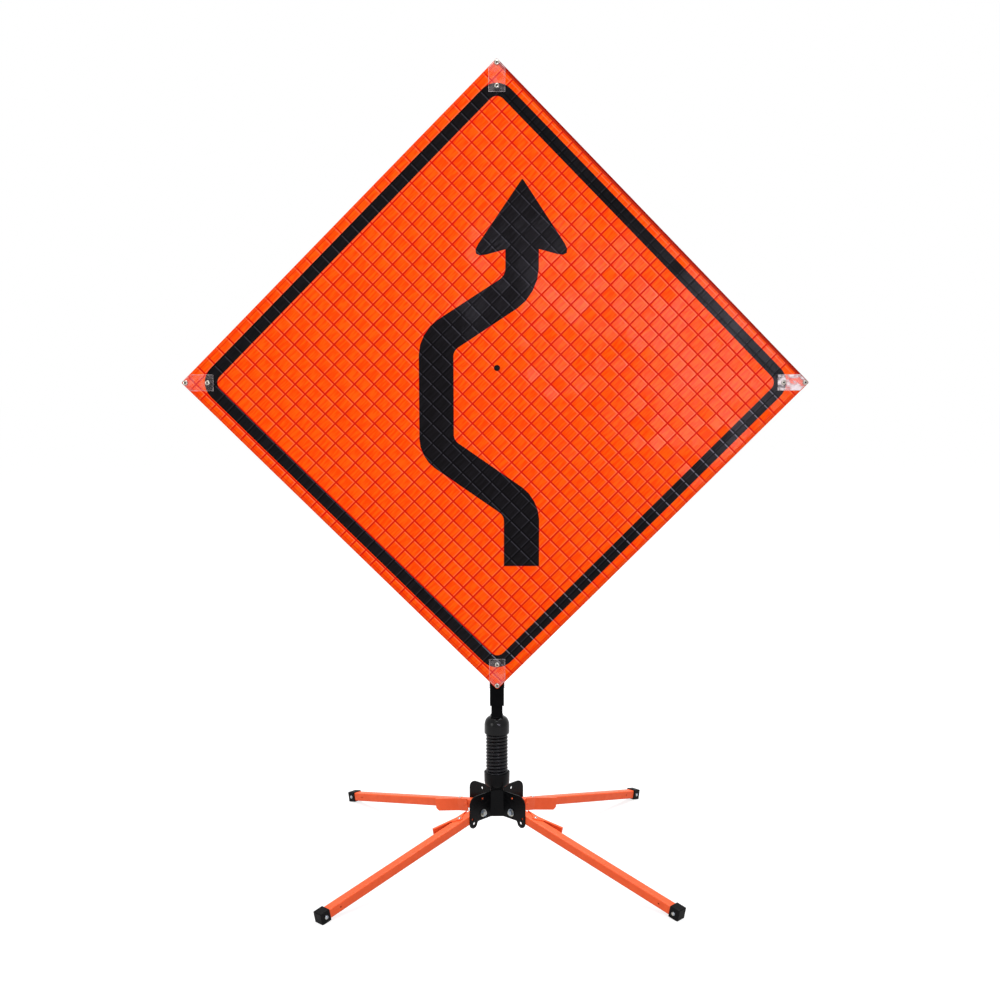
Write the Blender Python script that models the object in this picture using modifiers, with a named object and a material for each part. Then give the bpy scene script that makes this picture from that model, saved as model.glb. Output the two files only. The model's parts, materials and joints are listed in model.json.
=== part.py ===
"""Roll-up traffic sign on a folding four-leg spring stand.

A taut vinyl diamond is stretched on two crossed ribs. The upright rib stands in a channel
bracket on a short mast, and a close-wound coil spring carries the mast on a hub of two bent
plates, in which four square legs fold on bolts and lock with sprung pins.
Metres, +Z up, origin on the floor under the mast. The sign faces -Y.
"""

import math

import bmesh
import bpy
from mathutils import Matrix, Vector

INCH = 0.0254
GAP = 0.0003  # clearance between pieces that touch
SMALL_ROUND = 0.0030  # round shapes under this radius have the fewest sides
MIDDLE_ROUND = 0.0045

# Hub of two bent plates on a square tube
HUB_TUBE = 1.5 * INCH
HUB_WALL = 0.003
PLATE = 0.0032
PLATE_BOTTOM = 0.118
PLATE_TOP = 0.193
WING = 0.085  # from the bend to the edge
WING_CORNER = 0.024
BEND_RADIUS = 0.004
BEND_STEPS = 4
EAR_RADIUS = 0.0145
EAR_BOTTOM = 0.101
EAR_FILLET = 0.006
PIVOT_OUT = 0.033  # leg bolt, from the bend
PIVOT_Z = 0.137
LEG_BOLT = 0.375 * INCH
LOCK_RADIUS = 0.042  # lock holes, from the leg bolt
LOCK_HOLE = 0.0082
LOCK_PIN = 0.0064
STEEP_ANGLE = math.radians(32)
STOWED_ANGLE = math.radians(88)

# Legs
LEG = 1.0 * INCH
LEG_WALL = 0.0018
LEG_CORNER = 0.003
LEG_LENGTH = 0.594  # from the bolt to the end of the foot cap
LEG_TAIL = 0.017  # from the bolt to the inner end
LEG_PIN_HOLE = 0.0125
DRAIN_HOLE = 0.005
DRAIN_FROM_CAP = 0.036
CAP_WALL = 0.00275
CAP_LENGTH = 0.030
CAP_END = 0.004
CAP_ROUND = 0.0022
FLOOR_FLAT = 0.0012  # depth of the flat on which each cap stands
CAP_RIVET = 0.0048
CAP_RIVET_HEAD = 0.0100
CAP_RIVET_IN = 0.014  # from the open edge of the cap

# Lock levers
LEVER_SHEET = 0.002
LEVER_CLEAR = 0.0008  # between a leg and the lever web
FLANGE_CLEAR = 0.0005
LEVER_START = 0.034
LEVER_AXIS = 0.074
LEVER_END = 0.152
LEVER_AXIS_SIDE = 0.004  # the lever's rivet, from the middle of the leg
LEVER_FLARE = math.radians(13)
LEVER_HANG = 0.008
LEVER_CHAMFER = 0.008
LEVER_EYE = 0.009
LEVER_LIP_START = 0.027  # from the lever's rivet
LEVER_LIP = 0.005
LEVER_RIVET = 0.0064
LEVER_RIVET_HEAD = 0.0100
PIN_HEAD = 0.0105
HEAD_HEIGHT = 0.0022
KICK_SPRING_AT = 0.118
KICK_SPRING_WIRE = 0.0010
KICK_SPRING_RADIUS = 0.0036
KICK_SPRING_TURNS = 4

# Fasteners
HEX_ACROSS = 0.5625 * INCH
HEX_HEIGHT = 0.0062
WASHER = 0.022
WASHER_THICK = 0.0018
BOLT_STUB = 0.006  # thread beyond the nut
BOLT_CHAMFER = 0.001
UNION_DEPTH = 0.0005  # how far welded shapes reach into each other

# Coil spring with its cups and plugs
SPRING_OUTER = 0.0315
SPRING_WIRE = 0.0095
SPRING_PITCH = 0.010
SPRING_POINTS = 10  # along each turn
SPRING_ROOM = 0.165  # from the cup's floor to the cap's ceiling
CUP_BASE = PLATE_TOP + 0.0064
CUP_FLOOR = CUP_BASE + 0.0206
CUP_SHOULDER = CUP_FLOOR - 0.004
CUP_RIM = CUP_FLOOR + 0.0232
CUP_RADIUS = 0.037
CUP_FOOT = 0.0195
CUP_CLEAR = 0.0019  # round the spring
CUP_DRAFT = 0.0007
BOWL_ANGLES = (20, 40, 60, 75)  # degrees round the cup's lower curve
SPIGOT_LENGTH = 0.040
PLUG_LENGTH = 0.042
PLUG_CHAMFER = 0.002
CAP_CEILING = CUP_FLOOR + SPRING_ROOM
CAP_RIM_Z = CAP_CEILING - 0.026
DOME_START = CAP_CEILING - 0.0025
DOME_TOP = CAP_CEILING + 0.0225
DOME_RADIUS = 0.036
DOME_NECK = 0.016
DOME_STEPS = 5
UPPER_SPIGOT = 0.044
FORE_AFT_Z = CUP_FLOOR + 0.3 * SPRING_ROOM  # where the spring bends fore and aft
SIDEWAYS_Z = CUP_FLOOR + 0.7 * SPRING_ROOM  # where it bends sideways

# Mast and bracket
POST = 1.25 * INCH
POST_WALL = 0.002
SLEEVE = 0.040
SLEEVE_WALL = 0.0035
SLEEVE_LENGTH = 0.084
SLEEVE_BOTTOM = DOME_TOP + 0.0345
SLEEVE_TOP = SLEEVE_BOTTOM + SLEEVE_LENGTH
POST_TOP = SLEEVE_TOP - 0.008
CHANNEL_WALL = 0.003
CHANNEL_CLEAR = 0.0004
CHANNEL_LENGTH = 0.156
CHANNEL_BOTTOM = SLEEVE_TOP - 0.0335
CHANNEL_TOP = CHANNEL_BOTTOM + CHANNEL_LENGTH
CHANNEL_LIP = 0.0045  # how far each front lip covers the rib

# Clamp screws
CLAMP_SCREW = 0.0096
CLAMP_TIP = 0.0066
CLAMP_TIP_LENGTH = 0.008
CLAMP_REACH = 0.045
CLAMP_BOSS = 0.0150
CLAMP_BOSS_LENGTH = 0.012
CLAMP_NUT = 0.018
CLAMP_NUT_LENGTH = 0.010
HANDLE_ROD = 0.0060
HANDLE_LENGTH = 0.052
HANDLE_BALL = 0.0085
MAST_CLAMP_Z = SLEEVE_BOTTOM + 0.030
RIB_CLAMP_Z = CHANNEL_TOP - 0.035

# Sign
SIGN_SIDE = 48 * INCH
SIGN_BOTTOM = CHANNEL_BOTTOM + 0.004  # height of the lowest corner
SIGN_CORNER = 0.004
VINYL = 0.0008
RIB_WIDTH = 1.25 * INCH
UPRIGHT_THICK = 0.375 * INCH
CROSS_THICK = 0.1875 * INCH
RIB_BOW = 0.040  # the crossing bolt's rise over the middle of the diamond
CROSS_RIB_STEPS = 16
RIB_INSET = 0.0205  # rib ends, from the corners
CROSS_END_GAP = 0.001
RIVET_TAIL = 0.0012
RIVET_HEAD = 0.013
RIVET_SHANK = 0.0048
OUTER_RIVET = 0.011  # from a corner of the sign
INNER_RIVET = 0.071
LEAF = 0.001
LEAF_WIDTH = 0.044
LEAF_LENGTH = 0.087
LONG_LEAF = 0.135  # the bottom pocket's rear leaf, on which the rib clamp bears
LEAF_INSET = 0.0025
BACK_LEAF_WIDTH = 0.020
CROSS_BOLT = 0.008
CROSS_BOLT_HEAD = 0.017
CROSS_BOLT_DOME = 0.004
CROSS_NUT = 0.013
CROSS_NUT_HEIGHT = 0.0065

# Places worked out from the sizes
ROOT_HALF = math.sqrt(0.5)
HUB_HALF = HUB_TUBE / 2
BEND_RADIAL = (2 * HUB_HALF + GAP) * ROOT_HALF  # bend, from the mast's axis
WING_FACE = -GAP * ROOT_HALF  # the face that a leg lies against, from the radial line
PIVOT_RADIAL = BEND_RADIAL + PIVOT_OUT
LEG_MIDDLE = WING_FACE + GAP + LEG / 2
CAP = LEG + 2 * (GAP + CAP_WALL)
CAP_HALF = CAP / 2
LEG_SLOPE = math.asin(
    (PIVOT_Z + FLOOR_FLAT - CAP_ROUND)
    / math.hypot(LEG_LENGTH - CAP_ROUND, CAP_HALF - CAP_ROUND)
) - math.atan2(CAP_HALF - CAP_ROUND, LEG_LENGTH - CAP_ROUND)
SIGN_HALF = SIGN_SIDE * ROOT_HALF
SIGN_MIDDLE = SIGN_BOTTOM + SIGN_HALF
CROSSING_Z = SIGN_MIDDLE + RIB_BOW
CHANNEL_BACK = -(SLEEVE / 2 + GAP)
RIB_BACK = CHANNEL_BACK - CHANNEL_WALL - GAP - LEAF - GAP
RIB_FRONT = RIB_BACK - UPRIGHT_THICK
MAST_CLAMP_START = POST / 2 + GAP  # clamp tips, against the post and the bottom leaf
RIB_CLAMP_START = RIB_BACK + GAP + LEAF + GAP
CROSS_BACK = RIB_FRONT - GAP
CROSS_FRONT = CROSS_BACK - CROSS_THICK
VINYL_BACK = CROSS_FRONT - GAP - RIVET_TAIL - GAP
VINYL_FRONT = VINYL_BACK - VINYL
SPRING_MEAN = SPRING_OUTER - SPRING_WIRE / 2
PLUG_RADIUS = SPRING_MEAN * math.cos(math.pi / SPRING_POINTS) - SPRING_WIRE / 2 - GAP

LEGS = {
    "front_left": (-1, -1),
    "front_right": (1, -1),
    "rear_left": (-1, 1),
    "rear_right": (1, 1),
}


# Scene, collections and materials

for old in list(bpy.data.objects):
    bpy.data.objects.remove(old, do_unlink=True)


def collection(name):
    made = bpy.data.collections.new(name)
    bpy.context.scene.collection.children.link(made)
    return made


PARTS = collection("roll_up_sign")
CUTTERS = collection("cutters")


def material(name, colour, roughness, metallic=0.0):
    made = bpy.data.materials.new(name)
    made.use_nodes = True
    shader = made.node_tree.nodes["Principled BSDF"]
    shader.inputs["Base Color"].default_value = (*colour, 1.0)
    shader.inputs["Roughness"].default_value = roughness
    shader.inputs["Metallic"].default_value = metallic
    made.diffuse_color = (*colour, 1.0)
    return made


# Each material is (name, linear colour, roughness, metallic)
ORANGE_COAT = ("orange_coat", (0.80, 0.13, 0.03), 0.42, 0.0)
BLACK_COAT = ("black_coat", (0.008, 0.008, 0.009), 0.45, 0.0)
BLACK_RUBBER = ("black_rubber", (0.010, 0.010, 0.011), 0.70, 0.0)
SPRING_STEEL = ("spring_steel", (0.015, 0.015, 0.018), 0.32, 0.6)
ZINC = ("zinc_plate", (0.55, 0.57, 0.60), 0.30, 1.0)
VINYL_ORANGE = ("orange_vinyl", (1.0, 0.09, 0.003), 0.30, 0.0)
FIBREGLASS = ("fibreglass_rib", (0.75, 0.60, 0.20), 0.50, 0.0)
CLEAR_PLASTIC = ("clear_plastic", (0.80, 0.80, 0.82), 0.15, 0.0)
BRASS = ("brass_tip", (0.60, 0.40, 0.12), 0.35, 1.0)


# Shape helpers


def hang(thing, parent, back=None):
    """Parent a shape to an empty; back takes it from the shape's own frame to the empty's."""
    thing.parent = parent
    if back is not None:
        thing.matrix_parent_inverse = back


def place(thing, name, look, parent=None, back=None):
    """Name a shape, give it its own material and hang it under its empty."""
    thing.name = name
    PARTS.objects.link(thing)
    thing.data.materials.clear()
    thing.data.materials.append(material(f"{name}_{look[0]}", *look[1:]))
    if parent is not None:
        hang(thing, parent, back)
    return thing


def empty(name, matrix, parent=None, back=None):
    """An empty on a joint's axis."""
    made = bpy.data.objects.new(name, None)
    made.empty_display_size = 0.02
    PARTS.objects.link(made)
    if parent is not None:
        hang(made, parent, back)
    made.matrix_local = (back or Matrix.Identity(4)) @ matrix
    return made


def as_cutter(thing, name, parent=None, back=None):
    thing.name = name
    CUTTERS.objects.link(thing)
    thing.hide_render = True
    thing.display_type = "WIRE"
    if parent is not None:
        hang(thing, parent, back)
    return thing


def object_from(bm, smooth=False):
    mesh = bpy.data.meshes.new("shape")
    bm.to_mesh(mesh)
    bm.free()
    if smooth:
        mesh.shade_smooth()
        mesh.set_sharp_from_angle(angle=math.radians(40))
    return bpy.data.objects.new("shape", mesh)


def evaluated(thing):
    """Turn a curve or a modified object into a plain welded mesh object."""
    home = bpy.context.scene.collection
    if thing.name not in home.all_objects:
        home.objects.link(thing)
    bpy.context.view_layer.update()
    depsgraph = bpy.context.evaluated_depsgraph_get()
    mesh = bpy.data.meshes.new_from_object(thing.evaluated_get(depsgraph))
    bm = bmesh.new()
    bm.from_mesh(mesh)
    bmesh.ops.remove_doubles(bm, verts=bm.verts, dist=1e-6)
    bm.to_mesh(mesh)
    bm.free()
    made = bpy.data.objects.new("shape", mesh)
    made.matrix_world = thing.matrix_world.copy()
    bpy.data.objects.remove(thing, do_unlink=True)
    return made


def arc(centre, radius, start, end, steps):
    """Points of an arc, angles in degrees."""
    points = []
    for step in range(steps + 1):
        angle = math.radians(start + (end - start) * step / steps)
        points.append(
            (centre[0] + radius * math.cos(angle), centre[1] + radius * math.sin(angle))
        )
    return points


def rounded_rectangle(width, height, radius, steps=2, centre=(0.0, 0.0)):
    points = []
    for turn, (side_x, side_y) in enumerate(((1, 1), (-1, 1), (-1, -1), (1, -1))):
        corner = (
            centre[0] + side_x * (width / 2 - radius),
            centre[1] + side_y * (height / 2 - radius),
        )
        points += arc(corner, radius, 90 * turn, 90 * turn + 90, steps)
    return points


def flat_shape(loops, thickness, to_place=None):
    """Fill closed outlines, give them a thickness and turn them into a mesh object.

    The outline lies in local XY and the thickness runs both ways along local Z.
    """
    curve = bpy.data.curves.new("outline", "CURVE")
    curve.dimensions = "2D"
    curve.fill_mode = "BOTH"
    curve.extrude = thickness / 2
    for loop in loops:
        spline = curve.splines.new("POLY")
        spline.points.add(len(loop) - 1)
        for point, (x, y) in zip(spline.points, loop, strict=True):
            point.co = (x, y, 0, 1)
        spline.use_cyclic_u = True
    made = evaluated(bpy.data.objects.new("outline", curve))
    if to_place is not None:
        made.data.transform(to_place)
    return made


def frame(origin, x_axis, y_axis):
    """A placing matrix from an origin and two perpendicular axes."""
    x_axis = Vector(x_axis).normalized()
    y_axis = Vector(y_axis).normalized()
    z_axis = x_axis.cross(y_axis)
    return Matrix.Translation(origin) @ Matrix((x_axis, y_axis, z_axis)).transposed().to_4x4()


def round_steps(radius):
    """How many sides a small round shape has."""
    return 8 if radius < SMALL_ROUND else 12 if radius < MIDDLE_ROUND else 16


def add_cylinder(bm, centre, axis, radius, length, segments=None):
    turn = Vector((0, 0, 1)).rotation_difference(Vector(axis)).to_matrix().to_4x4()
    bmesh.ops.create_cone(
        bm,
        cap_ends=True,
        segments=segments or round_steps(radius),
        radius1=radius,
        radius2=radius,
        depth=length,
        matrix=Matrix.Translation(centre) @ turn,
    )


def add_box(bm, low, high):
    size = [b - a for a, b in zip(low, high, strict=True)]
    middle = [(a + b) / 2 for a, b in zip(low, high, strict=True)]
    scale = Matrix.Diagonal((*size, 1))
    bmesh.ops.create_cube(bm, size=1, matrix=Matrix.Translation(middle) @ scale)


def box(low, high):
    bm = bmesh.new()
    add_box(bm, low, high)
    return object_from(bm)


def turned(profile, steps=28):
    """Turn a profile of (radius, height) points about local Z, its outer side running down."""
    mesh = bpy.data.meshes.new("profile")
    edges = [(i, i + 1) for i in range(len(profile) - 1)]
    if profile[0][0] > 0 and profile[-1][0] > 0:
        edges.append((len(profile) - 1, 0))
    mesh.from_pydata([(r, 0, z) for r, z in profile], edges, [])
    thing = bpy.data.objects.new("profile", mesh)
    screw = thing.modifiers.new("Screw", "SCREW")
    screw.steps = steps
    screw.render_steps = steps
    screw.use_merge_vertices = True
    screw.merge_threshold = 0.00001
    screw.use_smooth_shade = True
    made = evaluated(thing)
    made.data.shade_smooth()
    made.data.set_sharp_from_angle(angle=math.radians(40))
    return made


def boolean(thing, other, operation):
    change = thing.modifiers.new(other.name, "BOOLEAN")
    change.operation = operation
    change.solver = "EXACT"
    change.object = other


def drills(holes):
    """Round cutters, each (centre, axis, diameter, length)."""
    bm = bmesh.new()
    for centre, axis, diameter, length in holes:
        add_cylinder(bm, centre, axis, diameter / 2, length)
    return object_from(bm)


def cut(thing, tool, what, parent=None, back=None):
    boolean(thing, as_cutter(tool, f"{thing.name}_{what}", parent, back), "DIFFERENCE")


def drill(thing, holes, parent=None, back=None):
    cut(thing, drills(holes), "holes", parent, back)


def fuse(thing, other, what, parent=None, back=None):
    boolean(thing, as_cutter(other, f"{thing.name}_{what}", parent, back), "UNION")


def bored(thing, holes):
    """A plain mesh object of a shape with round holes through it."""
    tool = drills(holes)
    bpy.context.scene.collection.objects.link(tool)
    boolean(thing, tool, "DIFFERENCE")
    made = evaluated(thing)
    bpy.data.objects.remove(tool, do_unlink=True)
    return made


def combined(first, operation, *others):
    """One plain mesh object of several overlapping ones, by UNION or INTERSECT."""
    home = bpy.context.scene.collection
    for other in others:
        home.objects.link(other)
        boolean(first, other, operation)
    made = evaluated(first)
    for other in others:
        bpy.data.objects.remove(other, do_unlink=True)
    return made


def fused(first, *others):
    return combined(first, "UNION", *others)


def coil(mean_radius, wire, low, high, turns, points_a_turn):
    """A coil as one tube along local Z, and its least gap to itself."""
    count = round(turns * points_a_turn)
    points = []
    for index in range(count + 1):
        angle = 2 * math.pi * turns * index / count
        z = low + wire / 2 + (high - low - wire) * index / count
        points.append(Vector((mean_radius * math.cos(angle), mean_radius * math.sin(angle), z)))
    curve = bpy.data.curves.new("coil", "CURVE")
    curve.dimensions = "3D"
    curve.bevel_depth = wire / 2
    curve.bevel_resolution = 1
    curve.use_fill_caps = True
    spline = curve.splines.new("POLY")
    spline.points.add(len(points) - 1)
    for point, spot in zip(spline.points, points, strict=True):
        point.co = (*spot, 1)
    apart = points_a_turn // 2
    least = min(
        (a - b).length
        for i, a in enumerate(points)
        for b in points[i + apart :]
    )
    made = evaluated(bpy.data.objects.new("coil", curve))
    made.data.shade_smooth()
    return made, least - wire


def square_tube(size, wall, corner, length, to_place):
    """A rounded square tube along local Z of its placing matrix, from its middle."""
    outer = rounded_rectangle(size, size, corner)
    inner = rounded_rectangle(size - 2 * wall, size - 2 * wall, max(corner - wall, 0.0005))
    return flat_shape([outer, inner], length, to_place)


def upright(low, high, x=0.0, y=0.0):
    return Matrix.Translation((x, y, (low + high) / 2))


def rivet(head_diameter, head_height, shank, grip, tail_diameter=0.0, tail=0.0, steps=12):
    """A domed rivet along local Z: the head above z = 0, the shank below it."""
    profile = [(0.0, head_height)]
    for step in range(1, 4):
        angle = math.radians(90 * step / 4)
        profile.append((head_diameter / 2 * math.sin(angle), head_height * math.cos(angle)))
    profile.append((head_diameter / 2, 0.0))
    profile.append((shank / 2, 0.0))
    profile.append((shank / 2, -grip))
    if tail:
        profile.append((tail_diameter / 2, -grip))
        profile.append((tail_diameter / 2, -grip - tail))
        profile.append((0.0, -grip - tail))
    else:
        profile.append((0.0, -grip))
    return turned(profile, steps)


def hex_prism(across, low, high):
    bm = bmesh.new()
    add_cylinder(
        bm, (0, 0, (low + high) / 2), (0, 0, 1), across / math.sqrt(3), high - low, segments=6
    )
    return object_from(bm)


def disc(radius, low, high):
    bm = bmesh.new()
    add_cylinder(bm, (0, 0, (low + high) / 2), (0, 0, 1), radius, high - low)
    return object_from(bm)


# Base: the hub tube, its two bent plates, the leg bolts, the lower cup and plug


def wing_to_blank(out):
    """Where a distance out along a wing lies on the flat blank, from its middle."""
    neutral = BEND_RADIUS + PLATE / 2
    tangent = (BEND_RADIUS + PLATE) * math.tan(math.radians(22.5))
    return HUB_HALF - tangent + neutral * math.pi / 4 + out - tangent


def ear_outline():
    """The lower right of a plate's outline: from its bottom edge round the ear to its side."""
    centre = (WING - EAR_RADIUS, EAR_BOTTOM + EAR_RADIUS)
    rise = PLATE_BOTTOM - EAR_FILLET - centre[1]
    reach = math.sqrt((EAR_RADIUS + EAR_FILLET) ** 2 - rise**2)
    fillet = (centre[0] - reach, PLATE_BOTTOM - EAR_FILLET)
    meet = math.degrees(math.atan2(-rise, reach))
    points = arc(fillet, EAR_FILLET, 90, meet, 4)
    points += arc(centre, EAR_RADIUS, 180 + meet, 360, 9)[1:]
    return points


def plate_blank():
    right = ear_outline()
    right += arc((WING - WING_CORNER, PLATE_TOP - WING_CORNER), WING_CORNER, 0, 90, 7)
    right = [(wing_to_blank(out), z) for out, z in right]
    left = [(-x, z) for x, z in reversed(right)]
    return flat_shape([right + left], PLATE)


def lock_holes():
    """Leg bolt hole and the three lock holes of one wing, as (out, height, diameter)."""
    holes = [(PIVOT_OUT, PIVOT_Z, LEG_BOLT + 2 * GAP)]
    for angle in (-LEG_SLOPE, -STEEP_ANGLE, STOWED_ANGLE):
        out = PIVOT_OUT + LOCK_RADIUS * math.cos(angle)
        z = PIVOT_Z + LOCK_RADIUS * math.sin(angle)
        holes.append((out, z, LOCK_HOLE))
    return holes


def folded(bm):
    """Fold a flat blank (x along it, y up, z through it) into a plate in front of the hub."""
    neutral = BEND_RADIUS + PLATE / 2
    flat = HUB_HALF - (BEND_RADIUS + PLATE) * math.tan(math.radians(22.5))
    bend = neutral * math.pi / 4
    middle_y = -(HUB_HALF + GAP + PLATE / 2)
    for side in (-1, 1):
        for step in range(BEND_STEPS + 1):
            bmesh.ops.bisect_plane(
                bm,
                geom=bm.verts[:] + bm.edges[:] + bm.faces[:],
                dist=1e-7,
                plane_co=(side * (flat + bend * step / BEND_STEPS), 0, 0),
                plane_no=(1, 0, 0),
            )
    for vert in bm.verts:
        along, up, through = vert.co
        side = 1 if along > 0 else -1
        turn = min(max((abs(along) - flat) / neutral, 0.0), math.pi / 4)
        beyond = max(abs(along) - flat - bend, 0.0)
        radius = neutral + through
        x = min(abs(along), flat) + radius * math.sin(turn) + beyond * math.cos(turn)
        y = middle_y - neutral + radius * math.cos(turn) - beyond * math.sin(turn)
        vert.co = (side * x, y, up)


def hub_plate(name, turn):
    holes = []
    for out, z, diameter in lock_holes():
        for side in (-1, 1):
            holes.append(((side * wing_to_blank(out), z, 0), (0, 0, 1), diameter, 3 * PLATE))
    flat = bored(plate_blank(), holes)
    bm = bmesh.new()
    bm.from_mesh(flat.data)
    bpy.data.objects.remove(flat, do_unlink=True)
    folded(bm)
    bmesh.ops.rotate(bm, verts=bm.verts, matrix=Matrix.Rotation(turn, 3, "Z"))
    bmesh.ops.recalc_face_normals(bm, faces=bm.faces)
    place(object_from(bm), name, BLACK_COAT)


def directions(sides):
    """Of one leg: outward, and through its bolt from the plate to the far side."""
    side_x, side_y = sides
    out = Vector((side_x * ROOT_HALF, side_y * ROOT_HALF, 0))
    through = Vector((side_x * ROOT_HALF, -side_y * ROOT_HALF, 0))
    return out, through


def leg_bolt():
    """Hex bolt up local Z with its washers and nut, through a hub plate and a leg."""
    under = WING_FACE - PLATE - GAP
    far = LEG_MIDDLE + LEG / 2 + GAP
    end = far + WASHER_THICK + HEX_HEIGHT + BOLT_STUB
    bolt = LEG_BOLT / 2
    washer = WASHER / 2
    shank = turned(
        [
            (0, end),
            (bolt - BOLT_CHAMFER, end),
            (bolt, end - BOLT_CHAMFER),
            (bolt, far + WASHER_THICK),
            (washer, far + WASHER_THICK),
            (washer, far),
            (bolt, far),
            (bolt, under),
            (washer, under),
            (washer, under - WASHER_THICK),
            (0, under - WASHER_THICK),
        ],
        16,
    )
    head_top = under - WASHER_THICK + UNION_DEPTH
    nut_low = far + WASHER_THICK - UNION_DEPTH
    head = hex_prism(HEX_ACROSS, head_top - HEX_HEIGHT, head_top)
    return fused(shank, head, hex_prism(HEX_ACROSS, nut_low, nut_low + HEX_HEIGHT))


def build_base():
    tube_top = CUP_BASE - GAP
    length = tube_top - PLATE_BOTTOM
    to_place = upright(PLATE_BOTTOM, tube_top)
    place(square_tube(HUB_TUBE, HUB_WALL, LEG_CORNER, length, to_place), "hub_tube", BLACK_COAT)
    hub_plate("front_hub_plate", 0.0)
    hub_plate("rear_hub_plate", math.pi)
    for name, sides in LEGS.items():
        out, through = directions(sides)
        bolt = place(leg_bolt(), f"{name}_leg_bolt", ZINC)
        spot = out * PIVOT_RADIAL + Vector((0, 0, PIVOT_Z))
        bolt.matrix_world = frame(spot, out, through.cross(out))
    spigot = HUB_HALF - HUB_WALL - GAP
    inner = SPRING_OUTER + CUP_CLEAR
    profile = [(0, CUP_FLOOR), (inner, CUP_FLOOR), (inner, CUP_RIM), (CUP_RADIUS, CUP_RIM)]
    profile.append((CUP_RADIUS - CUP_DRAFT, CUP_SHOULDER))
    width = CUP_RADIUS - CUP_DRAFT - CUP_FOOT
    for angle in BOWL_ANGLES:
        bend = math.radians(angle)
        profile.append(
            (
                CUP_FOOT + width * math.cos(bend),
                CUP_SHOULDER - (CUP_SHOULDER - CUP_BASE) * math.sin(bend),
            )
        )
    profile += [(CUP_FOOT, CUP_BASE), (spigot, CUP_BASE)]
    profile += [(spigot, CUP_BASE - SPIGOT_LENGTH), (0, CUP_BASE - SPIGOT_LENGTH)]
    place(turned(profile), "lower_spring_cup", BLACK_COAT)
    low = CUP_FLOOR + GAP
    high = low + PLUG_LENGTH
    plug = [(0, high), (PLUG_RADIUS - PLUG_CHAMFER, high), (PLUG_RADIUS, high - PLUG_CHAMFER)]
    plug += [(PLUG_RADIUS, low), (0, low)]
    place(turned(plug, 20), "lower_spring_plug", ZINC)


# Legs, with their foot caps, rivets and lock levers


def build_leg(name, sides):
    out, through = directions(sides)
    side = -sides[0] * sides[1]
    up = Vector((0, 0, 1))
    along = out * math.cos(LEG_SLOPE) - up * math.sin(LEG_SLOPE)
    origin = out * PIVOT_RADIAL + through * LEG_MIDDLE + up * PIVOT_Z
    pivot = empty(f"{name}_leg_pivot", frame(origin, along, (through * side)))
    tube_end = LEG_LENGTH - CAP_END - GAP
    crosswise = (0, 1, 0)
    lengthwise = frame(((tube_end - LEG_TAIL) / 2, 0, 0), crosswise, (0, 0, 1))
    tube = square_tube(LEG, LEG_WALL, LEG_CORNER, tube_end + LEG_TAIL, lengthwise)
    place(tube, f"{name}_leg_tube", ORANGE_COAT, pivot)
    rivet_at = LEG_LENGTH - CAP_LENGTH + CAP_RIVET_IN
    lever_axis = (LEVER_AXIS, side * LEVER_AXIS_SIDE, 0)
    holes = [
        ((0, 0, 0), crosswise, LEG_BOLT + 2 * GAP, 2 * LEG),
        ((LOCK_RADIUS, 0, 0), crosswise, LEG_PIN_HOLE, 2 * LEG),
        ((rivet_at, 0, 0), crosswise, CAP_RIVET + 2 * GAP, 2 * LEG),
        ((LEG_LENGTH - CAP_LENGTH - DRAIN_FROM_CAP, 0, 0), crosswise, DRAIN_HOLE, 2 * LEG),
        (lever_axis, (0, 0, 1), LEVER_RIVET + 2 * GAP, 2 * LEG),
    ]
    drill(tube, holes, pivot)
    cap = box((LEG_LENGTH - CAP_LENGTH, -CAP_HALF, -CAP_HALF), (LEG_LENGTH, CAP_HALF, CAP_HALF))
    place(cap, f"{name}_foot_cap", BLACK_RUBBER, pivot)
    rounding = cap.modifiers.new("Rounded edges", "BEVEL")
    rounding.width = CAP_ROUND
    rounding.segments = 2
    depth = 2 * (CAP_LENGTH - CAP_END)
    seat = frame((LEG_LENGTH - CAP_END - depth / 2, 0, 0), crosswise, (0, 0, 1))
    socket = rounded_rectangle(LEG + 2 * GAP, LEG + 2 * GAP, LEG_CORNER)
    cut(cap, flat_shape([socket], depth, seat), "socket", pivot)
    reach = PIVOT_RADIAL + LEG_LENGTH
    floor = box((-reach, -reach, -CAP), (reach, reach, 0))
    cut(cap, floor, "floor")
    grip = CAP - 2 * UNION_DEPTH
    cap_rivet = rivet(CAP_RIVET_HEAD, HEAD_HEIGHT, CAP_RIVET, grip, CAP_RIVET_HEAD, HEAD_HEIGHT)
    cap_rivet.data.transform(frame((rivet_at, grip / 2, 0), (1, 0, 0), (0, 0, -1)))
    fuse(cap, cap_rivet, "rivet", pivot)
    flange_top = LEG / 2 + FLANGE_CLEAR + LEVER_SHEET + GAP
    lever_rivet = rivet(
        LEVER_RIVET_HEAD, HEAD_HEIGHT, LEVER_RIVET, 2 * flange_top, LEVER_RIVET_HEAD, HEAD_HEIGHT
    )
    lever_rivet.data.transform(Matrix.Translation((*lever_axis[:2], flange_top)))
    place(lever_rivet, f"{name}_lever_rivet", ZINC, pivot)
    build_lever(name, side, pivot)


def web_inner(along):
    """How far the lever's web is from the leg's middle plane, along the leg."""
    return LEG / 2 + LEVER_CLEAR + max(along - LEVER_AXIS, 0.0) * math.tan(LEVER_FLARE)


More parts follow.
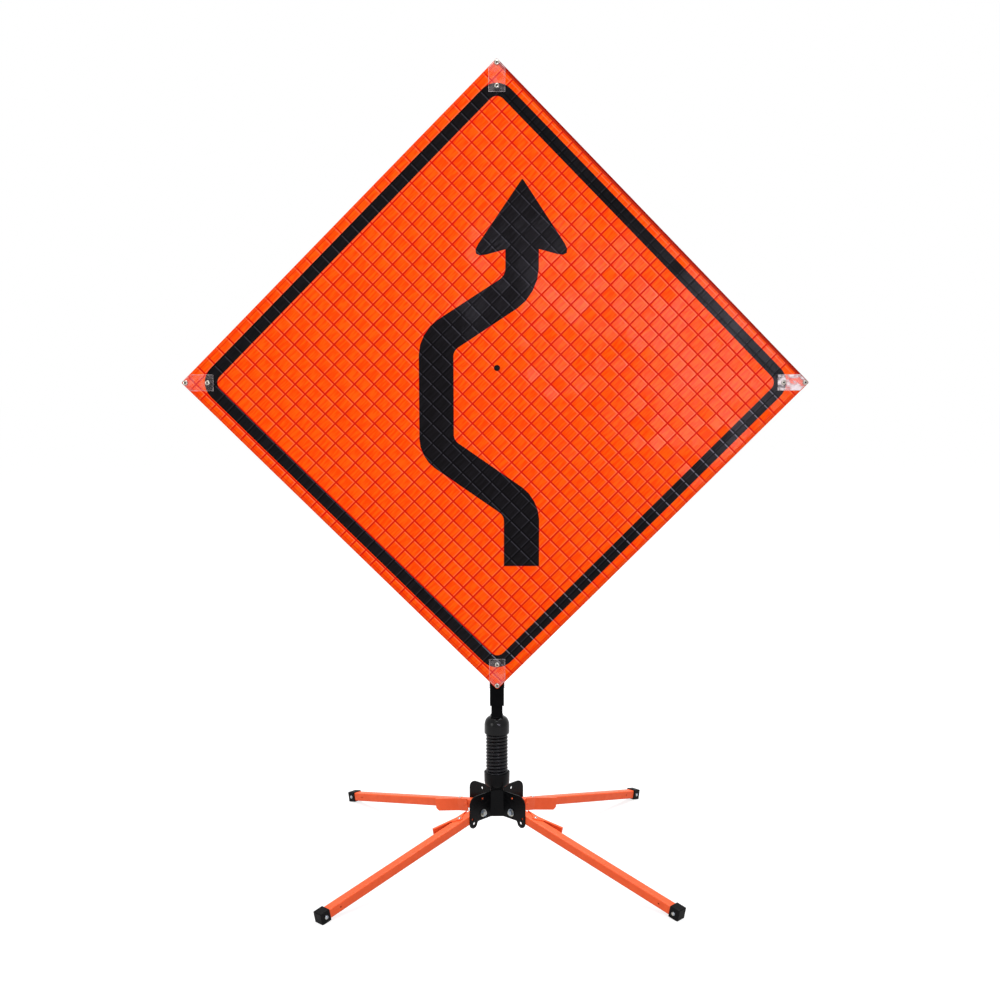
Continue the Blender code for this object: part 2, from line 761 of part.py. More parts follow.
def lever_flange(side, height):
    """A flange of the lever: an eye round its rivet and a lip along its tail."""
    lap = LEVER_SHEET / 2
    outline = [(LEVER_START + LEVER_EYE, web_inner(LEVER_START) + lap)]
    outline += arc((LEVER_AXIS, LEVER_AXIS_SIDE), LEVER_EYE, 190, 330, 6)
    lip_start = LEVER_AXIS + LEVER_LIP_START
    outline.append((lip_start, web_inner(lip_start) - LEVER_LIP))
    outline.append((LEVER_END, web_inner(LEVER_END) - LEVER_LIP))
    outline.append((LEVER_END, web_inner(LEVER_END) + lap))
    outline.append((LEVER_AXIS, web_inner(LEVER_AXIS) + lap))
    outline = [(along, side * across) for along, across in outline]
    return flat_shape([outline], LEVER_SHEET, Matrix.Translation((0, 0, height)))


def build_lever(name, side, pivot):
    offset = Matrix.Translation((LEVER_AXIS, side * LEVER_AXIS_SIDE, 0))
    hinge = empty(f"{name}_lever_pivot", offset, pivot)
    back = offset.inverted()
    low = -LEG / 2 - LEVER_HANG
    high = LEG / 2 + FLANGE_CLEAR + LEVER_SHEET
    stations = (LEVER_START, LEVER_AXIS, LEVER_END)
    web = [(along, side * web_inner(along)) for along in stations]
    web += [(along, side * (web_inner(along) + LEVER_SHEET)) for along in reversed(stations)]
    level = high - LEVER_SHEET / 2
    lever = fused(
        flat_shape([web], high - low, upright(low, high)),
        lever_flange(side, level),
        lever_flange(side, -level),
    )
    place(lever, f"{name}_lock_lever", ORANGE_COAT, hinge, back)
    corner = [
        (LEVER_END - LEVER_CHAMFER, low),
        (LEVER_END - LEVER_CHAMFER, low - LEVER_CHAMFER),
        (LEVER_END + LEVER_CHAMFER, low - LEVER_CHAMFER),
        (LEVER_END + LEVER_CHAMFER, low + LEVER_CHAMFER),
        (LEVER_END, low + LEVER_CHAMFER),
    ]
    wedge = flat_shape([corner], 4 * LEG, frame((0, 0, 0), (1, 0, 0), (0, 0, 1)))
    cut(lever, wedge, "corner", hinge, back)
    rivet_hole = ((LEVER_AXIS, side * LEVER_AXIS_SIDE, 0), (0, 0, 1), LEVER_RIVET + 2 * GAP, 2 * LEG)
    drill(lever, [rivet_hole], hinge, back)
    seat = web_inner(LOCK_RADIUS) + LEVER_SHEET - UNION_DEPTH
    pin = rivet(PIN_HEAD, HEAD_HEIGHT, LOCK_PIN, seat + LEG / 2)
    pin.data.transform(frame((LOCK_RADIUS, side * seat, 0), (1, 0, 0), (0, 0, -side)))
    fuse(lever, pin, "lock_pin", hinge, back)
    start = LEG / 2 + 2 * GAP
    rim = KICK_SPRING_RADIUS + KICK_SPRING_WIRE
    end = web_inner(KICK_SPRING_AT) - rim * math.tan(LEVER_FLARE) - 2 * GAP
    spring, least = coil(
        KICK_SPRING_RADIUS, KICK_SPRING_WIRE, start, end, KICK_SPRING_TURNS, 8
    )
    print(f"{name}_lever_spring: least gap to itself {least * 1000:.2f} mm")
    spring.data.transform(frame((KICK_SPRING_AT, 0, 0), (1, 0, 0), (0, 0, -side)))
    place(spring, f"{name}_lever_spring", SPRING_STEEL, pivot)


# Coil spring, mast and bracket


def build_mast():
    low = CUP_FLOOR + GAP
    high = CAP_CEILING - GAP
    turns = (high - low - SPRING_WIRE) / SPRING_PITCH
    spring, least = coil(SPRING_MEAN, SPRING_WIRE, low, high, turns, SPRING_POINTS)
    print(f"coil_spring: {turns:.1f} turns, least gap to itself {least * 1000:.2f} mm")
    place(spring, "coil_spring", SPRING_STEEL, FORE_AFT, FORE_AFT_BACK)
    profile = []
    for step in range(DOME_STEPS + 1):
        bend = math.radians(90 * step / DOME_STEPS)
        profile.append(
            (
                DOME_NECK + (DOME_RADIUS - DOME_NECK) * math.sin(bend),
                DOME_START + (DOME_TOP - DOME_START) * math.cos(bend),
            )
        )
    inner = SPRING_OUTER + CUP_CLEAR
    profile = [(0, DOME_TOP)] + profile
    profile += [(DOME_RADIUS, CAP_RIM_Z), (inner, CAP_RIM_Z)]
    profile += [(inner, CAP_CEILING), (0, CAP_CEILING)]
    on_mast = (SIDEWAYS, SIDEWAYS_BACK)
    cap = place(turned(profile), "upper_spring_cap", BLACK_COAT, *on_mast)
    hole = rounded_rectangle(POST + 2 * GAP, POST + 2 * GAP, LEG_CORNER)
    cut(cap, flat_shape([hole], POST, upright(CAP_CEILING, DOME_TOP)), "post_hole", *on_mast)
    shoulder = CAP_CEILING - GAP
    foot = shoulder - PLUG_LENGTH
    plug = [(0, shoulder), (PLUG_RADIUS, shoulder), (PLUG_RADIUS, foot + PLUG_CHAMFER)]
    plug += [(PLUG_RADIUS - PLUG_CHAMFER, foot), (0, foot)]
    bore = POST - 2 * POST_WALL - 2 * GAP
    spigot = flat_shape(
        [rounded_rectangle(bore, bore, LEG_CORNER)],
        UPPER_SPIGOT + PLUG_CHAMFER,
        upright(shoulder - PLUG_CHAMFER, shoulder + UPPER_SPIGOT),
    )
    place(fused(turned(plug, 20), spigot), "upper_spring_plug", ZINC, *on_mast)
    length = POST_TOP - CAP_CEILING
    post = square_tube(POST, POST_WALL, LEG_CORNER, length, upright(CAP_CEILING, POST_TOP))
    place(post, "mast_post", BLACK_COAT, *on_mast)


def weld_nut(thing, face, z, wall):
    """Fuse a hex nut to a wall's rear face, with holes through it for a clamp screw and its tip."""
    on_bracket = (BRACKET, BRACKET_BACK)
    rearward = frame((0, face - UNION_DEPTH, z), (1, 0, 0), (0, 0, -1))
    nut = hex_prism(CLAMP_NUT, 0, CLAMP_NUT_LENGTH + UNION_DEPTH)
    nut.data.transform(rearward)
    fuse(thing, nut, "nut", *on_bracket)
    middle = face + CLAMP_NUT_LENGTH
    depth = 2 * CLAMP_NUT_LENGTH + 4 * wall
    screw_hole = ((0, middle, z), (0, 1, 0), CLAMP_SCREW + 2 * GAP, depth)
    drill(thing, [screw_hole], *on_bracket)


def build_bracket():
    on_bracket = (BRACKET, BRACKET_BACK)
    to_place = upright(SLEEVE_BOTTOM, SLEEVE_TOP)
    sleeve = square_tube(SLEEVE, SLEEVE_WALL, LEG_CORNER, SLEEVE_LENGTH, to_place)
    place(sleeve, "bracket_sleeve", BLACK_COAT, *on_bracket)
    weld_nut(sleeve, SLEEVE / 2, MAST_CLAMP_Z, SLEEVE_WALL)
    half = RIB_WIDTH / 2 + CHANNEL_CLEAR
    front = RIB_FRONT - GAP
    lip = RIB_WIDTH / 2 - CHANNEL_LIP
    right = [
        (lip, front - CHANNEL_WALL),
        (half + CHANNEL_WALL, front - CHANNEL_WALL),
        (half + CHANNEL_WALL, CHANNEL_BACK),
    ]
    inside = [(half, CHANNEL_BACK - CHANNEL_WALL), (half, front), (lip, front)]
    outline = right + [(-x, y) for x, y in reversed(right)]
    outline += [(-x, y) for x, y in reversed(inside)] + inside
    to_place = upright(CHANNEL_BOTTOM, CHANNEL_TOP)
    channel = flat_shape([outline], CHANNEL_LENGTH, to_place)
    place(channel, "rib_channel", BLACK_COAT, *on_bracket)
    seat = SIGN_BOTTOM + RIB_INSET - GAP - LEAF - GAP
    stop = box(
        (-half - UNION_DEPTH, front - UNION_DEPTH, seat - CHANNEL_WALL),
        (half + UNION_DEPTH, CHANNEL_BACK - UNION_DEPTH, seat),
    )
    fuse(channel, stop, "stop", *on_bracket)
    weld_nut(channel, CHANNEL_BACK, RIB_CLAMP_Z, CHANNEL_WALL)
    build_clamp("mast_clamp", MAST_CLAMP_Z, MAST_CLAMP_START)
    build_clamp("rib_clamp", RIB_CLAMP_Z, RIB_CLAMP_START)


def build_clamp(name, z, start):
    """A clamp screw along +Y: its tip, its screw and its upright cross handle."""
    slide = empty(f"{name}_slide", Matrix.Translation((0, start, z)), BRACKET, BRACKET_BACK)
    rearward = frame((0, 0, 0), (1, 0, 0), (0, 0, -1))
    tip = disc(CLAMP_TIP / 2, 0, CLAMP_TIP_LENGTH)
    tip.data.transform(rearward)
    place(tip, f"{name}_tip", BRASS, slide)
    low = CLAMP_TIP_LENGTH + GAP
    boss = low + CLAMP_REACH
    end = boss + CLAMP_BOSS_LENGTH
    screw = turned(
        [
            (0, end),
            (CLAMP_BOSS / 2 - BOLT_CHAMFER, end),
            (CLAMP_BOSS / 2, end - BOLT_CHAMFER),
            (CLAMP_BOSS / 2, boss),
            (CLAMP_SCREW / 2, boss),
            (CLAMP_SCREW / 2, low),
            (0, low),
        ],
        16,
    )
    middle = boss + CLAMP_BOSS_LENGTH / 2
    screw = bored(screw, [((0, 0, middle), (0, 1, 0), HANDLE_ROD + 2 * GAP, 2 * CLAMP_BOSS)])
    screw.data.transform(rearward)
    place(screw, f"{name}_screw", ZINC, slide)
    half = HANDLE_LENGTH / 2
    ball = HANDLE_BALL / 2
    rod = [(0, half), (ball * ROOT_HALF, half - ball * (1 - ROOT_HALF)), (ball, half - ball)]
    rod += [(ball * ROOT_HALF, half - ball * (1 + ROOT_HALF)), (HANDLE_ROD / 2, half - 2 * ball)]
    rod += [(r, -z_rod) for r, z_rod in reversed(rod)]
    handle = turned(rod, 12)
    handle.data.transform(Matrix.Translation((0, middle, 0)))
    place(handle, f"{name}_handle", ZINC, slide)


# Sign: vinyl, ribs, corner pockets, rivets and the crossing bolt


def facing(y):
    """Place an outline drawn in X and Z on the plane at this Y."""
    return frame((0, y, 0), (1, 0, 0), (0, 0, 1))


def sign_corners():
    """Each corner's name, its tip in X and Z, and the direction from it to the middle."""
    return {
        "top": (Vector((0, 0, SIGN_MIDDLE + SIGN_HALF)), Vector((0, 0, -1))),
        "right": (Vector((SIGN_HALF, 0, SIGN_MIDDLE)), Vector((-1, 0, 0))),
        "bottom": (Vector((0, 0, SIGN_BOTTOM)), Vector((0, 0, 1))),
        "left": (Vector((-SIGN_HALF, 0, SIGN_MIDDLE)), Vector((1, 0, 0))),
    }


def sign_holes(depth, y):
    holes = [((0, y, CROSSING_Z), (0, 1, 0), CROSS_BOLT + 2 * GAP, depth)]
    for tip, inward in sign_corners().values():
        for distance in (OUTER_RIVET, INNER_RIVET):
            spot = tip + inward * distance
            holes.append(((spot.x, y, spot.z), (0, 1, 0), RIVET_SHANK + 2 * GAP, depth))
    return holes


def build_face():
    outline = []
    inset = SIGN_CORNER * math.sqrt(2)
    for turn, (x, z) in enumerate(((1, 0), (0, 1), (-1, 0), (0, -1))):
        centre = (x * (SIGN_HALF - inset), SIGN_MIDDLE + z * (SIGN_HALF - inset))
        outline += arc(centre, SIGN_CORNER, 90 * turn - 45, 90 * turn + 45, 4)
    middle = (VINYL_BACK + VINYL_FRONT) / 2
    face = flat_shape([outline], VINYL, facing(middle))
    place(face, "sign_face", VINYL_ORANGE, *ON_SIGN)
    drill(face, sign_holes(4 * VINYL, middle), *ON_SIGN)


def build_ribs():
    low = SIGN_BOTTOM + RIB_INSET
    high = SIGN_MIDDLE + SIGN_HALF - RIB_INSET
    outline = rounded_rectangle(
        RIB_WIDTH, high - low, RIB_WIDTH / 8, centre=(0, (low + high) / 2)
    )
    middle = (RIB_BACK + RIB_FRONT) / 2
    rib = flat_shape([outline], UPRIGHT_THICK, facing(middle))
    place(rib, "upright_rib", FIBREGLASS, *ON_SIGN)
    crossing = ((0, middle, CROSSING_Z), (0, 1, 0), CROSS_BOLT + 2 * GAP, 2 * UPRIGHT_THICK)
    drill(rib, [crossing], *ON_SIGN)
    half_width = RIB_WIDTH / 2
    reach = SIGN_HALF - RIB_INSET - half_width

    def bow(x):
        return SIGN_MIDDLE + RIB_BOW * (1 - (x / SIGN_HALF) ** 2)

    top_edge = []
    for step in range(CROSS_RIB_STEPS + 1):
        x = reach - 2 * reach * step / CROSS_RIB_STEPS
        top_edge.append((x, bow(x) + half_width))
    outline = arc((reach, bow(reach)), half_width, -90, 90, 6)
    outline += top_edge[1:-1]
    outline += arc((-reach, bow(reach)), half_width, 90, 270, 6)
    outline += [(x, z - 2 * half_width) for x, z in reversed(top_edge[1:-1])]
    middle = (CROSS_BACK + CROSS_FRONT) / 2
    rib = flat_shape([outline], CROSS_THICK, facing(middle))
    place(rib, "cross_rib", FIBREGLASS, CROSSING, CROSSING_BACK)
    crossing = ((0, middle, CROSSING_Z), (0, 1, 0), CROSS_BOLT + 2 * GAP, 2 * CROSS_THICK)
    drill(rib, [crossing], CROSSING, CROSSING_BACK)


def leaf_outline(tip, inward, y, thickness, width, inset, length=LEAF_LENGTH):
    """A plate pointed like the corner that it lies on, from its tip inward."""
    half = width / 2
    apex = inset * math.sqrt(2)
    round_corner = 2 * LEAF
    outline = [(apex, 0), (apex + half, -half)]
    outline += arc((length - round_corner, -half + round_corner), round_corner, -90, 0, 2)
    outline += arc((length - round_corner, half - round_corner), round_corner, 0, 90, 2)
    outline.append((apex + half, half))
    normal = Vector((0, -1, 0))
    origin = Vector((tip.x, y, tip.z))
    return flat_shape([outline], thickness, frame(origin, inward, normal.cross(inward)))


def back_leaf(tip, inward, rib_rear, end_gap, length):
    """Leaf behind a rib's end: a tab on the vinyl, a step round the end and a flat behind it."""
    tab = VINYL_BACK + GAP
    flat = rib_rear + GAP
    step = RIB_INSET - end_gap
    outline = [(0, tab), (step, tab), (step, flat), (2 * length, flat)]
    outline += [(2 * length, flat + LEAF), (step - LEAF, flat + LEAF)]
    outline += [(step - LEAF, tab + LEAF), (0, tab + LEAF)]
    folded_leaf = flat_shape([outline], LEAF_WIDTH, frame(tip, inward, (0, 1, 0)))
    depth = 2 * (flat - tab + 2 * LEAF)
    bounds = leaf_outline(tip, inward, tab, depth, BACK_LEAF_WIDTH, LEAF_INSET, length)
    return combined(folded_leaf, "INTERSECT", bounds)


def corner_rivet(tip, inward, distance, tail_at):
    """A rivet with its head in front of the front leaf and its tail from Y = tail_at."""
    under_head = VINYL_FRONT - GAP - LEAF - GAP
    spot = tip + inward * distance
    grip = tail_at - under_head
    made = rivet(RIVET_HEAD, HEAD_HEIGHT, RIVET_SHANK, grip, 2 * RIVET_SHANK, RIVET_TAIL)
    made.data.transform(facing(under_head) @ Matrix.Translation((spot.x, spot.z, 0)))
    return made


def build_corners():
    leaf_y = VINYL_FRONT - GAP - LEAF / 2
    for name, (tip, inward) in sign_corners().items():
        upright_end = name in ("top", "bottom")
        rib_rear = RIB_BACK if upright_end else CROSS_BACK
        end_gap = GAP if upright_end else CROSS_END_GAP
        front = leaf_outline(tip, inward, leaf_y, LEAF, LEAF_WIDTH, LEAF_INSET)
        place(front, f"{name}_corner_leaf", CLEAR_PLASTIC, *ON_SIGN)
        drill(front, sign_holes(4 * LEAF, leaf_y)[1:], *ON_SIGN)
        outer = corner_rivet(tip, inward, OUTER_RIVET, VINYL_BACK + GAP + LEAF - UNION_DEPTH)
        length = LONG_LEAF if name == "bottom" else LEAF_LENGTH
        pocket = fused(back_leaf(tip, inward, rib_rear, end_gap, length), outer)
        place(pocket, f"{name}_corner_pocket", CLEAR_PLASTIC, *ON_SIGN)
        inner = corner_rivet(tip, inward, INNER_RIVET, VINYL_BACK + GAP)
        place(inner, f"{name}_corner_rivet", ZINC, *ON_SIGN)


def build_crossing_bolt():
    under_head = VINYL_FRONT - GAP
    length = RIB_BACK + GAP + CROSS_NUT_HEIGHT + GAP - under_head
    bolt = rivet(CROSS_BOLT_HEAD, CROSS_BOLT_DOME, CROSS_BOLT, length)
    bolt.data.transform(facing(under_head) @ Matrix.Translation((0, CROSSING_Z, 0)))
    place(bolt, "crossing_bolt", BLACK_COAT, *ON_SIGN)
    nut = bored(
        hex_prism(CROSS_NUT, 0, CROSS_NUT_HEIGHT),
        [((0, 0, 0), (0, 0, 1), CROSS_BOLT + 2 * GAP, 4 * CROSS_NUT_HEIGHT)],
    )
    nut.data.transform(frame((0, RIB_BACK + GAP, CROSSING_Z), (1, 0, 0), (0, 0, -1)))
    place(nut, "crossing_nut", ZINC, *ON_SIGN)


# Joint points, each on its joint's axis, and the order of building

FORE_AFT = empty("fore_aft_bend", Matrix.Translation((0, 0, FORE_AFT_Z)))
FORE_AFT_BACK = Matrix.Translation((0, 0, -FORE_AFT_Z))
SIDEWAYS = empty("sideways_bend", Matrix.Translation((0, 0, SIDEWAYS_Z)), FORE_AFT, FORE_AFT_BACK)
SIDEWAYS_BACK = Matrix.Translation((0, 0, -SIDEWAYS_Z))
BRACKET = empty("bracket_slide", Matrix.Translation((0, 0, SLEEVE_BOTTOM)), SIDEWAYS, SIDEWAYS_BACK)
BRACKET_BACK = Matrix.Translation((0, 0, -SLEEVE_BOTTOM))
SIGN = empty("sign_slide", Matrix.Translation((0, RIB_BACK, SIGN_BOTTOM)), BRACKET, BRACKET_BACK)
SIGN_BACK = Matrix.Translation((0, -RIB_BACK, -SIGN_BOTTOM))
ON_SIGN = (SIGN, SIGN_BACK)
CROSSING = empty("rib_crossing", Matrix.Translation((0, CROSS_BACK, CROSSING_Z)), SIGN, SIGN_BACK)
CROSSING_BACK = Matrix.Translation((0, -CROSS_BACK, -CROSSING_Z))

build_base()
for leg_name, leg_sides in LEGS.items():
    build_leg(leg_name, leg_sides)
build_mast()
build_bracket()
build_face()
build_ribs()
build_corners()
build_crossing_bolt()
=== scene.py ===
# %% [markdown]
# Roll-up traffic sign on a folding spring stand.
#
# The real object is a diamond of soft reflective vinyl, pulled flat by two crossed fibreglass
# ribs. It stands in a steel bracket on a short post, which a stiff coil spring carries on a
# folding four-leg hub, so that the sign can lean in the wind and stand up again. The frame that
# is loaded here holds every rigid solid in its place. This lesson gives each of them its finish
# and builds what a solid can't show: the printed vinyl, the wound springs and the small hardware.

# %% Load the frame
import json
import math

import bmesh
import bpy
from mathutils import Matrix, Vector, noise


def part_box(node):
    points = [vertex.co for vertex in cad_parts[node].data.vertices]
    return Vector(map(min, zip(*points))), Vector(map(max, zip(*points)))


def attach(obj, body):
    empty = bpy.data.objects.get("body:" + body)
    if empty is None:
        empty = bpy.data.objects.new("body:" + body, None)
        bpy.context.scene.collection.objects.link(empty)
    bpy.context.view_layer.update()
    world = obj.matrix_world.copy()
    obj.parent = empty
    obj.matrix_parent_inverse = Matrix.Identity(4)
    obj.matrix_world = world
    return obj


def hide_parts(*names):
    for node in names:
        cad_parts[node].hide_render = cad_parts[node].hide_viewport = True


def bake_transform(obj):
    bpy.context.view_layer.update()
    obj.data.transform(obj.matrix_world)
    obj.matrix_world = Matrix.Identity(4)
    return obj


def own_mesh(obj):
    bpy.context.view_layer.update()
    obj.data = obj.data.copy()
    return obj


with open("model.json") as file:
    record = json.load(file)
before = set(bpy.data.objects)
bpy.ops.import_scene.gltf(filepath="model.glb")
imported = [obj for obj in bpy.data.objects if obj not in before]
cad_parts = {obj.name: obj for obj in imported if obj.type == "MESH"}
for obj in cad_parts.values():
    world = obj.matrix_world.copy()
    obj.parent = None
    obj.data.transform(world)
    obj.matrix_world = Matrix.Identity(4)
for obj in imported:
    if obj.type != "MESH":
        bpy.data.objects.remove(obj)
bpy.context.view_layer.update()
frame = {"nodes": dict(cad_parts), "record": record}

scene = bpy.context.scene

# %% [markdown]
# Helpers for making things. Each finished piece is one mesh whose object sits at the origin, so
# that a pattern on Object coordinates stays where it is when the piece is exported. A bmesh is
# filled by operators, its doubles are merged, its faces are turned outwards, and only then does
# it become an object that rides on one of the bodies that move.

# %% Helpers for meshes
INCH = 0.0254
SAME_POINT = 1e-6


def finished_mesh(bm, name, outwards=True):
    """The mesh of bm, with its doubles merged and its faces turned outwards."""
    bmesh.ops.remove_doubles(bm, verts=bm.verts, dist=SAME_POINT)
    if outwards:
        bmesh.ops.recalc_face_normals(bm, faces=bm.faces)
    mesh = bpy.data.meshes.new(name)
    bm.to_mesh(mesh)
    bm.free()
    return mesh


def make_piece(mesh, body, finish, smooth_below=None):
    """An object named as its mesh, which rides on a body and takes its finish."""
    piece = bpy.data.objects.new(mesh.name, mesh)
    scene.collection.objects.link(piece)
    if finish is not None:
        mesh.materials.append(finish)
    if smooth_below is not None:
        mesh.shade_smooth()
        mesh.set_sharp_from_angle(angle=math.radians(smooth_below))
    if body is not None:
        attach(piece, body)
    print(piece.name, "has", len(mesh.polygons), "faces")
    return piece


def middle_of(node):
    """The middle of a solid's box."""
    low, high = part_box(node)
    return (Vector(low) + Vector(high)) / 2


def standing(place, normal):
    """A matrix that stands a piece made round Z on a place, with its Z along the normal."""
    return Matrix.Translation(place) @ Vector(normal).to_track_quat("Z", "Y").to_matrix().to_4x4()


# %% [markdown]
# Helpers for finishes. A material is a small calculation that is done at every point of a
# surface, so it is written as one. A Value is a number on a socket: adding or multiplying two of
# them puts down the Math node that does it. Every other node comes from one method, add, which
# sets the node's own settings first and then fills in or links its sockets. Colours are written
# as they look on a screen, from 0 to 255, and turned into the linear numbers that shading needs.

# %% Colours and numbers on sockets
GREY_STEPS = 255.0
STRAIGHT_BELOW = 0.04045
STRAIGHT_SLOPE = 12.92
CURVE_SHIFT = 0.055
CURVE_POWER = 2.4


def screen(red, green, blue):
    """A screen colour, 0 to 255, as linear light."""
    linear = []
    for part in (red, green, blue):
        share = part / GREY_STEPS
        if share <= STRAIGHT_BELOW:
            linear.append(share / STRAIGHT_SLOPE)
        else:
            linear.append(((share + CURVE_SHIFT) / (1 + CURVE_SHIFT)) ** CURVE_POWER)
    return (*linear, 1.0)


class Value:
    """A number on a socket. Arithmetic on it adds Math nodes to its finish."""

    def __init__(self, finish, socket):
        self.finish = finish
        self.socket = socket

    def math(self, operation, *others):
        """A Math node with this number first."""
        values = dict(enumerate((self, *others)))
        return self.finish.add("ShaderNodeMath", {"operation": operation}, values)

    def __add__(self, other):
        return self.math("ADD", other)

    __radd__ = __add__

    def __mul__(self, other):
        return self.math("MULTIPLY", other)

    __rmul__ = __mul__

    def __sub__(self, other):
        return self.math("SUBTRACT", other)

    def __rsub__(self, other):
        return self.finish.add("ShaderNodeMath", {"operation": "SUBTRACT"}, {0: other, 1: self})

    def __truediv__(self, other):
        return self.math("DIVIDE", other)


# %% One material and its nodes
NOISE_RANGE = (0.3, 0.7)


class Finish:
    """One material, its nodes, and the surface coordinates that its pattern follows."""

    def __init__(self, name, roughness, metallic=0.0):
        self.material = bpy.data.materials.new(name)
        self.material.use_nodes = True
        self.tree = self.material.node_tree
        self.shader = self.tree.nodes["Principled BSDF"]
        self.set("Roughness", roughness)
        self.set("Metallic", metallic)
        self.place = self.add("ShaderNodeTexCoord", result="Object")

    def add(self, kind, settings=None, values=None, result=0):
        """Any node: its type, its settings, the values or links of its sockets, and one output."""
        node = self.tree.nodes.new(kind)
        for name, setting in (settings or {}).items():
            setattr(node, name, setting)
        for socket, value in (values or {}).items():
            if isinstance(value, Value):
                self.tree.links.new(value.socket, node.inputs[socket])
            else:
                node.inputs[socket].default_value = value
        return Value(self, node.outputs[result])

    def set(self, socket, value):
        """Fills or links a socket of the shader."""
        if isinstance(value, Value):
            self.tree.links.new(value.socket, self.shader.inputs[socket])
        else:
            self.shader.inputs[socket].default_value = value

    def shifted(self, move=(0, 0, 0), stretch=(1, 1, 1)):
        """The surface coordinates, moved and stretched."""
        values = {"Vector": self.place, "Location": move, "Scale": stretch}
        return self.add("ShaderNodeMapping", None, values)

    def split(self, vector):
        """The three numbers of a vector or colour."""
        node = self.add("ShaderNodeSeparateXYZ", None, {"Vector": vector}).socket.node
        return [Value(self, output) for output in node.outputs]

    def noise(self, scale, detail=3.0, rough=0.55, vector=None):
        """Clouds or grains: so many to the metre, so much detail, so rough."""
        values = {"Vector": vector or self.place, "Scale": scale, "Detail": detail}
        values["Roughness"] = rough
        return self.add("ShaderNodeTexNoise", None, values)

    def between(self, value, low, high, bottom=0.0, top=1.0):
        """A soft step from bottom to top as value goes from low to high."""
        values = {"Value": value, "From Min": low, "From Max": high, "To Min": bottom}
        values["To Max"] = top
        return self.add("ShaderNodeMapRange", {"interpolation_type": "SMOOTHSTEP"}, values)

    def below(self, value, low, high):
        """1 where value is under low, 0 where it is past high, soft between."""
        return self.between(value, low, high, 1.0, 0.0)

    def spread(self, pattern, bottom, top):
        """The usual range of a noise, stretched to run from bottom to top."""
        return self.between(pattern, *NOISE_RANGE, bottom, top)

    def mix(self, factor, first, second):
        """A colour part of the way from first to second."""
        kind = {"data_type": "RGBA"}
        return self.add("ShaderNodeMix", kind, {0: factor, 6: first, 7: second}, 2)

    def bump(self, height, distance, strength=1.0, under=None):
        """A relief as deep as distance, on top of the one under it."""
        values = {"Height": height, "Distance": distance, "Strength": strength}
        if under is not None:
            values["Normal"] = under
        return self.add("ShaderNodeBump", None, values)


# %% [markdown]
# The camera. The photograph was taken from a little above the middle of the sign and slightly to
# its left, a few metres away. Matching the four corners of the diamond and the four feet gives
# the place, the aim and the lens. It is made first, because every comparison depends on it.

# %% Camera
PICTURE = 1000
CAMERA_PLACE = Vector((-0.0672, -3.4091, 1.4074))
CAMERA_YAW = math.radians(-1.283)
CAMERA_DOWN = math.radians(6.321)
CAMERA_ROLL = math.radians(0.022)
FOCAL_PIXELS = 1221.0
SENSOR = 36.0
FAR_END = 60.0

aim = Matrix.Rotation(CAMERA_YAW, 4, "Z")
aim = aim @ Matrix.Rotation(-CAMERA_DOWN, 4, "X")
aim = aim @ Matrix.Rotation(CAMERA_ROLL, 4, "Y")
camera_data = bpy.data.cameras.new("camera")
camera_data.sensor_width = SENSOR
camera_data.lens = SENSOR * FOCAL_PIXELS / PICTURE
camera_data.clip_end = FAR_END
camera = bpy.data.objects.new("camera", camera_data)
camera.matrix_world = Matrix.Translation(CAMERA_PLACE) @ aim @ Matrix.Rotation(math.pi / 2, 4, "X")
scene.collection.objects.link(camera)
scene.camera = camera


def picture_point(place):
    """Where a point falls in the photograph's frame, in pixels."""
    seen = aim.to_3x3().transposed() @ (Vector(place) - CAMERA_PLACE)
    across = PICTURE / 2 + FOCAL_PIXELS * seen.x / seen.y
    down = PICTURE / 2 - FOCAL_PIXELS * seen.z / seen.y
    return round(across, 1), round(down, 1)


for cap_name in ("front_left_foot_cap", "front_right_foot_cap"):
    print("the middle of", cap_name, "falls at", picture_point(middle_of(cap_name)))

# %% [markdown]
# The printed vinyl. The face is one sheet, four feet square, that stands on a corner. Its print
# has to have crisp edges, and its cells have to run across the print, so the sheet is cut along
# the outline of the print: each outline starts as a few points, a vertex bevel rounds its
# corners, and the flat regions between the outlines are filled. A grid of straight cuts then
# gives the sheet enough points to billow slightly between the ribs that stretch it.

# %% Sizes of the sign face
face_low, face_high = (Vector(corner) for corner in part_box("sign_face"))
FACE_MIDDLE = (face_low + face_high) / 2
VINYL = face_high.y - face_low.y
SIGN_SIDE = 48 * INCH
FULL_HALF = SIGN_SIDE / math.sqrt(2)
BORDER_IN = 0.029
BORDER_WIDE = 1.3125 * INCH
print("the sign's middle is at", FACE_MIDDLE, "and its tips are", FULL_HALF, "m from there")


# %% Helpers for the outlines of the print
def round_corners(bm, corners, radius, steps):
    """Rounds corners of a flat face with a vertex bevel."""
    bmesh.ops.bevel(
        bm,
        geom=corners,
        offset=radius,
        offset_type="OFFSET",
        segments=steps,
        profile=0.5,
        affect="VERTICES",
        material=-1,
    )


def rounded_diamond(bm, inset, radius, steps):
    """A diamond as a flat face, inset from the edge of the sign, its corners rounded."""
    half = FULL_HALF - inset * math.sqrt(2)
    made = bmesh.ops.create_circle(bm, cap_ends=True, segments=4, radius=half)
    round_corners(bm, made["verts"], radius, steps)


def rounded_outline(bm, points, rounds, steps=4):
    """A flat face through points, each corner rounded by a vertex bevel of its own size."""
    corners = [bm.verts.new((across, up, 0.0)) for across, up in points]
    bm.faces.new(corners)
    for corner, radius in zip(corners, rounds):
        if radius > 0:
            round_corners(bm, [corner], radius, steps)


def loop_points(build, *values):
    """The flat face that build makes, as the points of its outline in order."""
    bm = bmesh.new()
    build(bm, *values)
    bm.faces.ensure_lookup_table()
    outline = [corner.vert.co.copy() for corner in bm.faces[0].loops]
    bm.free()
    return outline


